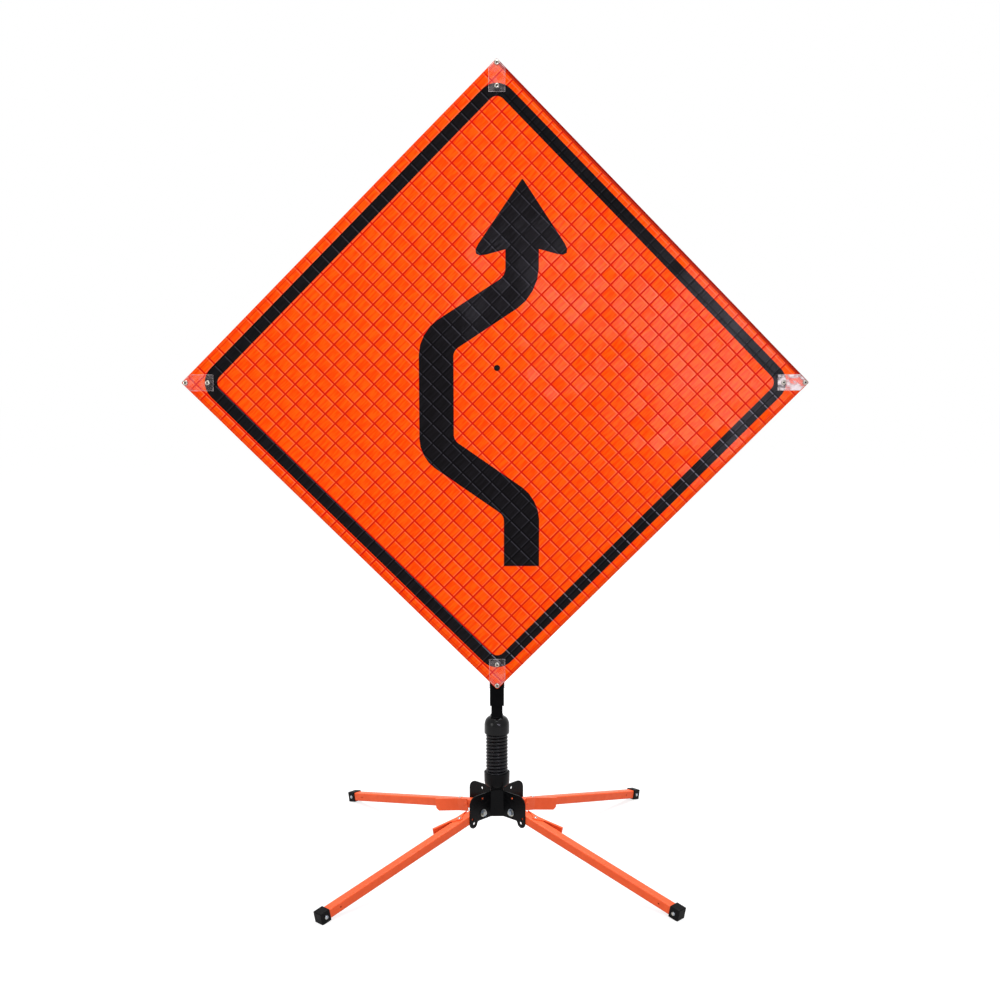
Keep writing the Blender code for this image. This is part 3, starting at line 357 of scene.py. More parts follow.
# %% Outlines of the print
# How round the corners of each diamond are: the offset of the bevel and its steps.
SHEET_CORNER = (0.004, 3)
BORDER_CORNER = (0.055, 8)
INNER_CORNER = (0.024, 6)
# The outline of the double reverse curve arrow, from the middle of the sign, in metres, each
# point with the offset of its vertex bevel. It starts at the tip and goes round clockwise.
ARROW = (
    ((0.069, 0.549), 0.004),
    ((0.212, 0.335), 0.050),
    ((0.114, 0.361), 0.000),
    ((0.114, 0.240), 0.068),
    ((-0.119, 0.087), 0.014),
    ((-0.119, -0.158), 0.014),
    ((0.117, -0.322), 0.056),
    ((0.117, -0.510), 0.000),
    ((0.019, -0.510), 0.000),
    ((0.019, -0.368), 0.014),
    ((-0.214, -0.206), 0.050),
    ((-0.214, 0.137), 0.060),
    ((0.023, 0.290), 0.018),
    ((0.023, 0.360), 0.000),
    ((-0.080, 0.332), 0.052),
)
arrow_points = [point for point, _ in ARROW]
arrow_rounds = [radius for _, radius in ARROW]
sheet_edge = loop_points(rounded_diamond, 0.0, *SHEET_CORNER)
border_outer = loop_points(rounded_diamond, BORDER_IN, *BORDER_CORNER)
border_inner = loop_points(rounded_diamond, BORDER_IN + BORDER_WIDE, *INNER_CORNER)
arrow_outline = loop_points(rounded_outline, arrow_points, arrow_rounds)
print("the arrow's outline has", len(arrow_outline), "points")

# %% Fill the regions between the outlines
FACE_ORANGE, FACE_BLACK, FACE_BACK = 0, 1, 2
OUTER_HOLE = 0.011
INNER_HOLE = 0.071
RIVET_HOLE = 0.0027
BOLT_HOLE = 0.0043
BOLT_RISE = 0.040
JOIN_WITHIN = 1e-5


def fill_region(bm, loops, material_index):
    """Fills the flat region between closed outlines with triangles of one material."""
    edges = []
    for points in loops:
        ring = [bm.verts.new(point) for point in points]
        for first, second in zip(ring, ring[1:] + ring[:1]):
            edges.append(bm.edges.new((first, second)))
    made = bmesh.ops.triangle_fill(bm, use_beauty=True, use_dissolve=False, edges=edges)
    for item in made["geom"]:
        if isinstance(item, bmesh.types.BMFace):
            item.material_index = material_index


def hole(bm, across, up, radius):
    """A small round face that stands for a hole, as one of the outlines to leave out."""
    bmesh.ops.create_circle(
        bm, cap_ends=True, segments=16, radius=radius, matrix=Matrix.Translation((across, up, 0))
    )


def near_tips(from_tip):
    """The four places at one distance from the tips, across and up from the sign's middle."""
    reach = FULL_HALF - from_tip
    return (reach, 0), (-reach, 0), (0, reach), (0, -reach)


def corner_holes(from_tip):
    """The four rivet holes at one distance from the tips of the sign."""
    return [loop_points(hole, across, up, RIVET_HOLE) for across, up in near_tips(from_tip)]


bolt_hole = loop_points(hole, 0.0, BOLT_RISE, BOLT_HOLE)
sheet = bmesh.new()
fill_region(sheet, [sheet_edge, border_outer, *corner_holes(OUTER_HOLE)], FACE_ORANGE)
fill_region(sheet, [border_outer, border_inner, *corner_holes(INNER_HOLE)], FACE_BLACK)
fill_region(sheet, [border_inner, arrow_outline, bolt_hole], FACE_ORANGE)
fill_region(sheet, [arrow_outline], FACE_BLACK)
bmesh.ops.remove_doubles(sheet, verts=sheet.verts, dist=JOIN_WITHIN)
bmesh.ops.transform(sheet, matrix=Matrix.Rotation(math.pi / 2, 4, "X"), verts=sheet.verts)
print("the regions are filled with", len(sheet.faces), "triangles")

# %% Cut the sheet into cells
CELL = 1.5 * INCH
SEAM_STARTS = (0.0255, 0.0065)
SEAM_WAYS = (Vector((1, 0, 1)).normalized(), Vector((-1, 0, 1)).normalized())
half_cells = round(SIGN_SIDE / CELL / 2)
for along, start in zip(SEAM_WAYS, SEAM_STARTS):
    for step in range(-half_cells, half_cells):
        bmesh.ops.bisect_plane(
            sheet,
            geom=sheet.verts[:] + sheet.edges[:] + sheet.faces[:],
            dist=SAME_POINT,
            plane_co=along * (start + step * CELL),
            plane_no=along,
        )
sheet_area = sum(face.calc_area() for face in sheet.faces)
print("the cut sheet has", len(sheet.faces), "faces and", sheet_area, "m2")

# %% [markdown]
# A stretched sheet isn't quite flat. Each of its four quarters swells a little between the ribs,
# and folds from being rolled up leave long shallow ripples. A smooth seeded noise moves the
# points, and it fades to nothing at the corners and over the ribs, where rivets hold the sheet.

# %% How the sheet billows
BILLOW = 0.0016
SWELL_SCALE = 3.1
SWELL_SEED = 0.37
SWELL_SHARE = 1.2
FOLDS_ACROSS = 9.0
FOLDS_ALONG = 1.7
FOLD_SEED = 5.1
FOLD_SHARE = 0.35
HELD_AT_TIP = (0.095, 0.200)
HELD_AT_RIB = (0.016, 0.10)
CROSSING = middle_of("crossing_bolt")


def fade(distance, start, end):
    """0 up to start, 1 past end, smooth between."""
    share = min(max((distance - start) / (end - start), 0.0), 1.0)
    return share * share * (3 - 2 * share)


def billow(x, z):
    """How far a point of the sheet stands in front of its flat plane."""
    across, up = x - FACE_MIDDLE.x, z - FACE_MIDDLE.z
    from_tip = FULL_HALF - max(abs(across), abs(up))
    free = fade(from_tip, *HELD_AT_TIP) * fade(abs(across), *HELD_AT_RIB)
    free *= fade(abs(z - CROSSING.z), *HELD_AT_RIB)
    swell = 0.5 + 0.5 * noise.noise(Vector((across, SWELL_SEED, up)) * SWELL_SCALE)
    on_folds = Vector(((across + up) * FOLDS_ACROSS, FOLD_SEED, (across - up) * FOLDS_ALONG))
    return free * BILLOW * (SWELL_SHARE * swell + FOLD_SHARE * noise.noise(on_folds))


# %% Give the sheet its thickness and its billow
bmesh.ops.recalc_face_normals(sheet, faces=sheet.faces)
for face in sheet.faces:
    face.normal_update()
if sum(face.normal.y for face in sheet.faces) > 0:
    bmesh.ops.reverse_faces(sheet, faces=sheet.faces)
grown = bmesh.ops.extrude_face_region(sheet, geom=sheet.faces[:], use_keep_orig=True)
back_points = [item for item in grown["geom"] if isinstance(item, bmesh.types.BMVert)]
bmesh.ops.translate(sheet, vec=(0, VINYL, 0), verts=back_points)
bmesh.ops.recalc_face_normals(sheet, faces=sheet.faces)
bmesh.ops.translate(
    sheet, vec=(FACE_MIDDLE.x, face_low.y, FACE_MIDDLE.z), verts=sheet.verts
)
for face in sheet.faces:
    if face.normal.y > 0.5:
        face.material_index = FACE_BACK
for point in sheet.verts:
    point.co.y -= billow(point.co.x, point.co.z)
face_mesh = finished_mesh(sheet, "vinyl_face")
print("the vinyl is", VINYL, "m thick and billows", BILLOW, "m")

# %% [markdown]
# The vinyl's finish. Reflective vinyl is a film of tiny prisms welded to a backing along a grid of
# seams, so every cell is a small cushion: it dips at the seams, and each tilts its own way, which
# is why a lamp lights some cells and not their neighbours. Colour, roughness and bump all come
# from the same two numbers, the distances along the two directions of the seams.

# %% Colours of the vinyl
ORANGE = screen(255, 68, 0)
# A lighter orange: painted sheen on the fine ripples, mixed with random tone between cells.
SHEEN_AND_TONE_ORANGE = screen(255, 92, 6)
SEAM_RED = screen(222, 0, 0)
# Painted highlight on the lines beside the seams of the orange.
SEAM_HIGHLIGHT = screen(255, 116, 72)
HEM_RED = screen(238, 58, 14)
# Painted shade along the upper right edge, where the hem turns back, and a darker rim at the very
# edge.
HEM_SHADE = screen(180, 38, 8)
HEM_DEEP_SHADE = screen(146, 6, 2)
PRINT_BLACK = screen(14, 12, 14)
# A lighter black: painted sheen on the ripples of the print, mixed with random tone between cells.
PRINT_SHEEN_AND_TONE = screen(20, 18, 21)
PRINT_SEAM = screen(4, 3, 5)
# Painted highlight on the lines beside the seams of the print.
PRINT_SEAM_HIGHLIGHT = screen(104, 102, 112)
BACK_CLEAN = screen(224, 82, 24)
BACK_DUSTY = screen(206, 70, 20)
BACK_HEM = screen(238, 74, 14)
BACK_SEAM = screen(168, 44, 14)

# %% Where the seams and the hems run
SEAM_HALF = 0.0013
# Where the painted highlight beside each seam lies in its cell, and its half width.
HIGHLIGHT_AT = 0.0040
HIGHLIGHT_HALF = 0.0009
LINE_FADE = 2.2
PLAIN_EDGE = 0.015
PLAIN_FADE = 0.0005
HEM = 0.0095
HEM_FADE = 0.0008
WELD_FADE = (0.0006, 0.0018)


def seams_of(finish):
    """For both seam directions: distance along it, cell number, place in the cell from 0 to 1."""
    flat = finish.shifted(move=(-FACE_MIDDLE.x, 0, -FACE_MIDDLE.z))
    diagonal = {0: flat, 3: math.radians(45)}
    turned = finish.add("ShaderNodeVectorRotate", {"rotation_type": "Y_AXIS"}, diagonal)
    first, _, second = finish.split(turned)
    seams = []
    for along, start in zip((first, second), SEAM_STARTS):
        cells = (along - start) / CELL
        seams.append((along, cells.math("FLOOR"), cells.math("FRACT")))
    return seams


def line_at(finish, seam, place, half):
    """1 on a line at one place of every cell, but for the plain edges, 0 outside its width."""
    from_line = (seam[2] - place / CELL).math("ABSOLUTE")
    from_line = from_line.math("MINIMUM", 1.0 - from_line)
    line = finish.below(from_line, half / CELL, LINE_FADE * half / CELL)
    last = SIGN_SIDE / 2 - PLAIN_EDGE
    return line * finish.below(seam[0].math("ABSOLUTE"), last, last + PLAIN_FADE)


def hem_of(finish, seams, wide):
    """How far a point is from the sheet's edge, if it is in the hem, and if on the hem's weld."""
    far = seams[0][0].math("ABSOLUTE").math("MAXIMUM", seams[1][0].math("ABSOLUTE"))
    edge = SIGN_SIDE / 2 - far
    in_hem = finish.below(edge, wide - HEM_FADE, wide + HEM_FADE)
    on_weld = finish.below((edge - wide).math("ABSOLUTE"), *WELD_FADE)
    return edge, in_hem, on_weld


# %% Lines and relief of the vinyl
DARK_LINES = (0.94, 0.92)
# Where the painted highlights of the first direction change strength, near the lower right edge and
# along the upper right border.
LOW_HIGHLIGHTS = (0.08, 0.16)
BORDER_HIGHLIGHTS = (0.072, 0.076)
RIPPLES_ALONG = 24.0
RIPPLES_ACROSS = 150.0
CREASES = 7.0
CREASED = (0.46, 0.62)


def dark_lines(finish, seams, first, second):
    """The lines on the seams, as strong as first and second in the two directions."""
    dark = line_at(finish, seams[0], 0.0, SEAM_HALF) * first
    return dark.math("MAXIMUM", line_at(finish, seams[1], 0.0, SEAM_HALF) * second)


def seam_highlights(finish, seams, lights):
    """Painted highlights on lines beside the seams, as strong as the given strengths say.

    Those of the first direction follow where the glare falls: they change near the lower right
    edge of the sheet and along its upper right border, so there they have a strength and a share
    of their own.
    """
    from_low = SIGN_SIDE / 2 + seams[1][0]
    from_border = SIGN_SIDE / 2 - seams[0][0]
    strength = finish.between(from_low, *LOW_HIGHLIGHTS, lights["first_low"], lights["first"])
    strength = strength * finish.between(from_border, *BORDER_HIGHLIGHTS, lights["border_share"], 1.0)
    light = line_at(finish, seams[0], CELL - HIGHLIGHT_AT, HIGHLIGHT_HALF) * strength
    second = line_at(finish, seams[1], HIGHLIGHT_AT, HIGHLIGHT_HALF) * lights["second"]
    return light.math("MAXIMUM", second)


def kinds_of(finish, seams):
    """Three numbers from 0 to 1 that are the same all over a cell and differ between cells."""
    cell = finish.add("ShaderNodeCombineXYZ", None, {0: seams[0][1], 1: seams[1][1]})
    colour = finish.add("ShaderNodeTexWhiteNoise", {"noise_dimensions": "2D"}, {0: cell}, 1)
    return finish.split(colour)


def cell_relief(finish, seams, kinds):
    """Height of each cell's own tilt, fine ripples, and the part of them that shows as creases."""
    tilt = (seams[0][2] - 0.5) * (kinds[0] - 0.5) + (seams[1][2] - 0.5) * (kinds[1] - 0.5)
    stretched = {0: seams[0][0] * RIPPLES_ALONG, 1: seams[1][0] * RIPPLES_ACROSS}
    ripples = finish.noise(1.0, 2.0, 0.5, finish.add("ShaderNodeCombineXYZ", None, stretched))
    creased = finish.between(finish.noise(CREASES, detail=1.0), *CREASED)
    return tilt, ripples, (ripples - 0.5) * creased


# %% The printed front
KIND_SHARE = 0.10
# The range over which the painted sheen of the ripples and the random tone between cells are mixed
# in.
SHEEN_AND_TONE_RANGE = (0.38, 0.72)
HEM_TINT = 0.4
WELD_TINT = 0.5
# Where the painted shade along the upper right edge starts, where its darker rim starts, and how
# strong both are.
FOLD_SHADE = (0.90 * HEM, 1.00 * HEM)
FOLD_DEEP_SHADE = (0.42 * HEM, 0.52 * HEM)
FOLD_SHADE_STRENGTH = 0.95
SEAM_DEPTH = 0.00030
HEM_ROUND = 0.0030
SWELL = 0.0090
CELL_TILT = 0.0030
RIPPLE = 0.0006
SMOOTHER, ROUGHER = 0.02, 0.04


def vinyl_finish(name, colours, roughness, lights, matt, relief):
    """The printed front in one of its two colours: its painted highlights beside the seams have
    strengths of their own, its seams are rougher by matt, and its cells stand out by relief."""
    finish = Finish(name, roughness)
    seams = seams_of(finish)
    kinds = kinds_of(finish, seams)
    dark = dark_lines(finish, seams, *DARK_LINES)
    light = seam_highlights(finish, seams, lights)
    tilt, ripples, creases = cell_relief(finish, seams, kinds)
    edge, in_hem, on_weld = hem_of(finish, seams, HEM)
    ground, glow, dark_line, highlight_line, (hem, hem_shade, hem_deep_shade) = colours
    # Lighter where the fine ripples rise and by a random share per cell: painted sheen on the
    # ripples, and random tone between cells.
    body = finish.mix(finish.between(ripples + kinds[2] * KIND_SHARE, *SHEEN_AND_TONE_RANGE), ground, glow)
    # Painted highlights on the lines beside the seams.
    body = finish.mix(light, body, highlight_line)
    body = finish.mix(dark, body, dark_line)
    body = finish.mix(in_hem * HEM_TINT, body, hem)
    body = finish.mix(on_weld * WELD_TINT, body, dark_line)
    # Painted shade along the upper right edge, where the hem turns back: a brownish band, then a
    # darker rim at the very edge.
    from_border = SIGN_SIDE / 2 - seams[0][0]
    body = finish.mix(finish.between(from_border, *FOLD_SHADE, FOLD_SHADE_STRENGTH, 0.0), body, hem_shade)
    body = finish.mix(finish.between(from_border, *FOLD_DEEP_SHADE, FOLD_SHADE_STRENGTH, 0.0), body, hem_deep_shade)
    finish.set("Base Color", body)
    cushion = finish.bump((dark + on_weld) * -1.0, SEAM_DEPTH * relief, 0.6)
    fold = (edge / HEM).math("MINIMUM", 1.0)
    folded = finish.bump((2.0 - fold) * fold, HEM_ROUND, 1.0, cushion)
    swollen = finish.bump(finish.noise(3.2, 1.0, 0.4), SWELL, 1.0, folded)
    tilted = finish.bump(tilt, CELL_TILT * relief, 1.0, swollen)
    finish.set("Normal", finish.bump(creases, RIPPLE, 1.0, tilted))
    worn = finish.spread(finish.noise(5.0), roughness - SMOOTHER, roughness + ROUGHER)
    finish.set("Roughness", worn + dark * matt)
    finish.set("Specular IOR Level", 0.05)
    return finish.material


orange_vinyl = vinyl_finish(
    "vinyl_orange",
    (ORANGE, SHEEN_AND_TONE_ORANGE, SEAM_RED, SEAM_HIGHLIGHT, (HEM_RED, HEM_SHADE, HEM_DEEP_SHADE)),
    roughness=0.12,
    lights={"first": 0.7, "first_low": 0.7, "border_share": 1.0, "second": 0.5},
    matt=0.35,
    relief=1.0,
)
print_vinyl = vinyl_finish(
    "vinyl_print",
    (PRINT_BLACK, PRINT_SHEEN_AND_TONE, PRINT_SEAM, PRINT_SEAM_HIGHLIGHT, (PRINT_BLACK,) * 3),
    roughness=0.17,
    lights={"first": 0.20, "first_low": 1.0, "border_share": 0.0, "second": 0.08},
    matt=0.05,
    relief=0.45,
)
print("the front has its orange and its print")

# %% The back, and the sheet as one piece
WEAVE = 2400.0
BACK_DEPTH = 0.00018


def backing_finish():
    """The vinyl's back: duller, a coated weave with the seams pressed through it."""
    finish = Finish("vinyl_back", 0.62)
    seams = seams_of(finish)
    weave = (seams[0][0] * WEAVE).math("SINE") * (seams[1][0] * WEAVE).math("SINE")
    dark = dark_lines(finish, seams, 1.0, 1.0)
    _, in_hem, on_weld = hem_of(finish, seams, 2 * HEM)
    dust = finish.noise(14.0, 5.0, 0.6)
    body = finish.mix(finish.between(dust, 0.35, 0.75), BACK_CLEAN, BACK_DUSTY)
    body = finish.mix(in_hem * 0.5, body, BACK_HEM)
    finish.set("Base Color", finish.mix(dark * 0.6 + on_weld * 0.4, body, BACK_SEAM))
    finish.set("Normal", finish.bump(weave * 0.3 + dark + in_hem * 1.5, BACK_DEPTH, 0.6))
    finish.set("Specular IOR Level", 0.3)
    return finish.material


for finish in (orange_vinyl, print_vinyl, backing_finish()):
    face_mesh.materials.append(finish)
vinyl_face = make_piece(face_mesh, "sign", None)
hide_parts("sign_face")

# %% [markdown]
# The coil spring. One stiff spring carries the sign. It is wound from thick wire with its turns
# almost touching, and it bends twice over its length, so it is made as two pieces that meet at
# half height. Each is a round wire section that bmesh spins round the post while it climbs.

# %% Sizes of the coil spring
SPRING_OUTER = 0.0315
SPRING_WIRE = 0.0095
SPRING_MEAN = SPRING_OUTER - SPRING_WIRE / 2
SPRING_PITCH = 0.010
SPRING_SEATS = (0.2203, 0.3847)
SPRING_JOINTS = (0.2695, 0.3355)
climb_start = SPRING_SEATS[0] + SPRING_WIRE / 2
climb_end = SPRING_SEATS[1] - SPRING_WIRE / 2
SPRING_TURNS = (climb_end - climb_start) / SPRING_PITCH
print("the spring climbs from", climb_start, "to", climb_end, "in", SPRING_TURNS, "turns")

# %% Wind a wire
TURN_STEPS = 28
WIRE_SIDES = 14


def wound(wire, mean, pitch, start, from_turn, to_turn):
    """A bmesh of a spring's wire about Z, from one turn to another, with its ends closed."""
    bm = bmesh.new()
    turns = to_turn - from_turn
    section = bmesh.ops.create_circle(bm, segments=WIRE_SIDES, radius=wire / 2)
    stand = Matrix.Rotation(2 * math.pi * from_turn, 4, "Z")
    stand = stand @ Matrix.Translation((mean, 0, start + pitch * from_turn))
    stand = stand @ Matrix.Rotation(math.pi / 2, 4, "X")
    bmesh.ops.transform(bm, matrix=stand, verts=section["verts"])
    steps = round(TURN_STEPS * turns)
    bmesh.ops.spin(
        bm,
        geom=bm.verts[:] + bm.edges[:],
        cent=(0, 0, 0),
        axis=(0, 0, 1),
        dvec=(0, 0, pitch * turns / steps),
        angle=2 * math.pi * turns,
        steps=steps,
        use_merge=False,
    )
    bmesh.ops.holes_fill(bm, edges=[edge for edge in bm.edges if edge.is_boundary], sides=0)
    return bm


# %% The coil spring and its steel
STEEL_BLACK = screen(8, 8, 10)
STEEL_PATCH = screen(17, 17, 21)
STEEL_WORN = screen(52, 50, 50)


def steel_coil_finish():
    """Black enamelled spring steel: dark and half glossy, worn to grey in small spots."""
    finish = Finish("spring_steel", 0.30)
    grain = finish.noise(90.0, 4.0, 0.6)
    patches = finish.noise(22.0, 3.0, 0.5)
    body = finish.mix(finish.between(patches, 0.35, 0.70), STEEL_BLACK, STEEL_PATCH)
    finish.set("Base Color", finish.mix(finish.between(grain, 0.66, 0.80), body, STEEL_WORN))
    finish.set("Roughness", finish.spread(grain, 0.24, 0.34))
    finish.set("Normal", finish.bump(grain, 0.00003, 0.5))
    finish.set("Specular IOR Level", 0.17)
    return finish.material


spring_finish = steel_coil_finish()
MIDDLE_TURN = SPRING_TURNS / 2
SPRING_HALVES = (
    ("coil_lower_turns", 0.0, MIDDLE_TURN, "base", "flex_link", SPRING_JOINTS[0]),
    ("coil_upper_turns", MIDDLE_TURN, SPRING_TURNS, "flex_link", "mast", SPRING_JOINTS[1]),
)
bend_reach = (climb_end - climb_start) / 4
for name, from_turn, to_turn, lower_body, upper_body, joint_z in SPRING_HALVES:
    half = wound(SPRING_WIRE, SPRING_MEAN, SPRING_PITCH, climb_start, from_turn, to_turn)
    piece = make_piece(finished_mesh(half, name), None, spring_finish, 50)
    bend_start = (0, 0, joint_z - bend_reach)
    bend_end = (0, 0, joint_z + bend_reach)
    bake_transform(piece)
    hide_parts("coil_spring")

# %% [markdown]
# The lever springs. Inside each lock lever a small spring stands on the side of the leg and
# pushes the lever out. The two joints of a leg give its directions: the lever turns about the
# leg's own up, and from the leg's bolt to the lever's rivet is along the leg and a little
# towards the spring.

# %% Lever springs
KICK_WIRE = 0.0010
KICK_MEAN = 0.0036
KICK_TURNS = 4
KICK_ALONG = 0.118
KICK_START = 0.0133
KICK_HEIGHT = 0.0087
KICK_PITCH = (KICK_HEIGHT - KICK_WIRE) / KICK_TURNS
LEGS = {"front_left": (-1, -1), "front_right": (1, -1), "rear_left": (-1, 1), "rear_right": (1, 1)}
joints = {joint["name"]: joint for joint in frame["record"]["behaviour"]["joints"]}
for leg in LEGS:
    fold = joints[f"{leg}_leg_fold"]
    press = joints[f"{leg}_lever_press"]
    bolt = Vector(fold["pos_m"])
    to_rivet = Vector(press["pos_m"]) - bolt
    across = to_rivet.project(Vector(fold["axis"])).normalized()
    along = (to_rivet - to_rivet.project(across)).normalized()
    seat = bolt + along * KICK_ALONG + across * KICK_START
    kick = wound(KICK_WIRE, KICK_MEAN, KICK_PITCH, KICK_WIRE / 2, 0, KICK_TURNS)
    bmesh.ops.transform(kick, matrix=standing(seat, across), verts=kick.verts)
    kick = finished_mesh(kick, f"{leg}_kick_spring")
    piece = make_piece(kick, f"{leg}_leg", spring_finish, 50)
    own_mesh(piece)
    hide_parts(f"{leg}_lever_spring")

# %% [markdown]
# The finishes of the stand and the ribs: powder coat, zinc plate, rubber, fibreglass, clear
# plastic and brass. None is one flat colour close up, so each is a few noises at the scale of
# the real thing: fine ones for grain and orange peel, broad ones for dust and wear.


# %% Coat, plate and rubber
ZINC_DULL = screen(120, 122, 128)
RUBBER_BLACK = screen(12, 12, 13)
RUBBER_SCUFF = screen(34, 33, 32)


def coat_finish(name, light, dark, roughness, gloss, peel=0.00006):
    """Powder coat: an even colour with orange peel, a little dust and rubbed spots."""
    finish = Finish(name, roughness)
    skin = finish.noise(620.0, 2.0, 0.5)
    dust = finish.noise(38.0, 5.0, 0.65)
    rubbed = finish.noise(140.0, 4.0, 0.7)
    finish.set("Base Color", finish.mix(finish.between(dust, 0.30, 0.75), dark, light))
    rough = finish.between(rubbed, 0.35, 0.70, roughness - 0.07, roughness + 0.10)
    finish.set("Roughness", rough)
    finish.set("Normal", finish.bump(skin, peel, 0.6))
    finish.set("Specular IOR Level", gloss)
    return finish.material


def zinc_finish(name, first, second):
    """Bright plate: faintly one or the other colour in patches, with small dull spots."""
    finish = Finish(name, 0.30, 1.0)
    tint = finish.noise(60.0, 3.0)
    spots = finish.noise(420.0, 3.0, 0.6)
    body = finish.mix(finish.between(tint, 0.35, 0.65), first, second)
    finish.set("Base Color", finish.mix(finish.between(spots, 0.62, 0.75), body, ZINC_DULL))
    finish.set("Roughness", finish.spread(spots, 0.22, 0.40))
    finish.set("Normal", finish.bump(spots, 0.00004, 0.5))
    return finish.material


def rubber_finish():
    """Black rubber: matt, pebbled, with grey scuffs."""
    finish = Finish("black_rubber", 0.72)
    pebble = finish.noise(480.0, 3.0, 0.6)
    scuff = finish.noise(70.0, 5.0, 0.7)
    scuffed = finish.between(scuff, 0.50, 0.80)
    finish.set("Base Color", finish.mix(scuffed, RUBBER_BLACK, RUBBER_SCUFF))
    finish.set("Specular IOR Level", 0.07)
    finish.set("Roughness", finish.spread(scuff, 0.46, 0.66))
    finish.set("Normal", finish.bump(pebble, 0.00010, 0.6))
    return finish.material


# %% Fibreglass, clear plastic and brass
STRAND_DARK = screen(192, 168, 96)
STRAND_LIGHT = screen(228, 210, 146)
RESIN = screen(206, 186, 116)
# The whitish tint of clear plastic; where a leaf or an edge is nearly opaque it is painted glare.
LEAF_TINT_AND_GLARE = screen(236, 222, 220)
BRASS = screen(196, 160, 92)
BRASS_DULL = screen(150, 116, 62)


def rib_finish(name, stretch):
    """Pultruded fibreglass: straight glass strands along the rib under a cloudy resin."""
    finish = Finish(name, 0.46)
    strands = finish.noise(1.0, 4.0, 0.6, finish.shifted(stretch=stretch))
    cloud = finish.noise(14.0, 3.0, 0.5)
    body = finish.mix(finish.between(strands, 0.36, 0.66), STRAND_DARK, STRAND_LIGHT)
    body = finish.mix(finish.between(cloud, 0.45, 0.75, 0.0, 0.35), body, RESIN)
    finish.set("Base Color", body)
    finish.set("Roughness", finish.spread(strands, 0.36, 0.56))
    finish.set("Normal", finish.bump(strands, 0.00006, 0.5))
    return finish.material


def clear_finish(name, thin, thick, gloss):
    """Clear plastic leaf: its haze and scratches run from a thin to a thick whitish cover; where
    the cover is thick it is painted glare or a painted highlight.
    """
    finish = Finish(name, 0.16)
    scratches = finish.noise(1.0, 4.0, 0.7, finish.shifted(stretch=(60, 60, 300)))
    haze = finish.noise(48.0, 2.0, 0.45)
    finish.set("Base Color", LEAF_TINT_AND_GLARE)
    finish.set("Alpha", finish.between(haze + scratches * 0.4, 0.58, 0.84, thin, thick))
    finish.set("Roughness", finish.spread(scratches, 0.10, 0.30))
    finish.set("Specular IOR Level", gloss)
    return finish.material


def brass_finish():
    """Turned brass, dulled by handling."""
    finish = Finish("brass_tip", 0.34, 1.0)
    dull = finish.noise(200.0, 4.0, 0.6)
    finish.set("Base Color", finish.mix(finish.between(dull, 0.35, 0.70), BRASS, BRASS_DULL))
    finish.set("Roughness", finish.spread(dull, 0.26, 0.44))
    finish.set("Normal", finish.bump(dull, 0.00004, 0.4))
    return finish.material


# %% Give every solid its finish
# The finishes of the record's slots, and those of the solids that differ from their slot.
black = coat_finish("black_coat", screen(12, 12, 13), screen(7, 7, 8), 0.34, 0.07)
shaded = coat_finish("shaded_coat", screen(8, 8, 9), screen(4, 4, 5), 0.36, 0.03)
enamel = coat_finish("black_enamel", screen(8, 8, 10), screen(5, 5, 6), 0.20, 0.18, 0.00001)
zinc = zinc_finish("zinc_plate", screen(136, 145, 158), screen(166, 163, 152))
SLOT_FINISHES = {
    "orange_coat": coat_finish("orange_coat", screen(244, 97, 49), screen(236, 89, 42), 0.40, 0.22),
    "black_coat": black,
    "black_rubber": rubber_finish(),
    "spring_steel": spring_finish,
    "zinc_plate": zinc,
    "orange_vinyl": orange_vinyl,
    "fibreglass_rib": rib_finish("fibreglass_upright", (420, 420, 6)),
    "clear_plastic": clear_finish("clear_plastic", 0.025, 0.075, 0.10),
    "brass_tip": brass_finish(),
}
NODE_FINISHES = {
    # The right leaf is made almost opaque white: painted glare on it.
    "right_corner_leaf": clear_finish("glare_painted_plastic", 0.12, 0.95, 0.3),
    "cross_rib": rib_finish("fibreglass_cross", (6, 420, 420)),
    "upper_spring_cap": enamel,
    "mast_post": shaded,
    "bracket_sleeve": shaded,
    "rib_channel": shaded,
}
for node_name, node in frame["nodes"].items():
    for node_slot in node.material_slots:
        slot_name = node_slot.material.name.split(".")[0]
        node_slot.material = NODE_FINISHES.get(node_name, SLOT_FINISHES[slot_name])
print("finishes given to", len(frame["nodes"]), "nodes")

# %% [markdown]
# Round the turned solids. A solid comes as flat facets, each with corners of its own. On what
# was turned on a lathe, a modifier joins those corners and lets the light run on over every
# edge that bends less than a limit, while a face's rim stays sharp. Flat plates and tubes keep
# their facets, because light that runs on from a small corner would stain a large flat face.

# %% Round the turned solids
TURNED_WORDS = ("spring_cap", "spring_cup", "clamp", "bolt", "rivet", "crossing_nut")
SHARP_ABOVE = math.radians(38)
FACETS_JOIN = 0.00002


def rounding():
    """A node group that shades a mesh smooth, except over its sharp edges."""
    group = bpy.data.node_groups.new("rounding", "GeometryNodeTree")
    for way in ("INPUT", "OUTPUT"):
        group.interface.new_socket("Geometry", in_out=way, socket_type="NodeSocketGeometry")
    start = group.nodes.new("NodeGroupInput")
    joined = group.nodes.new("GeometryNodeMergeByDistance")
    joined.inputs["Distance"].default_value = FACETS_JOIN
    bend = group.nodes.new("GeometryNodeInputMeshEdgeAngle")
    sharp = group.nodes.new("FunctionNodeCompare")
    sharp.operation = "GREATER_THAN"
    sharp.inputs["B"].default_value = SHARP_ABOVE
    shade = group.nodes.new("GeometryNodeSetMeshNormal")
    end = group.nodes.new("NodeGroupOutput")
    group.links.new(start.outputs[0], joined.inputs["Geometry"])
    group.links.new(joined.outputs[0], shade.inputs["Mesh"])
    group.links.new(bend.outputs["Unsigned Angle"], sharp.inputs["A"])
    group.links.new(sharp.outputs[0], shade.inputs["Edge Sharpness"])
    group.links.new(shade.outputs[0], end.inputs[0])
    return group


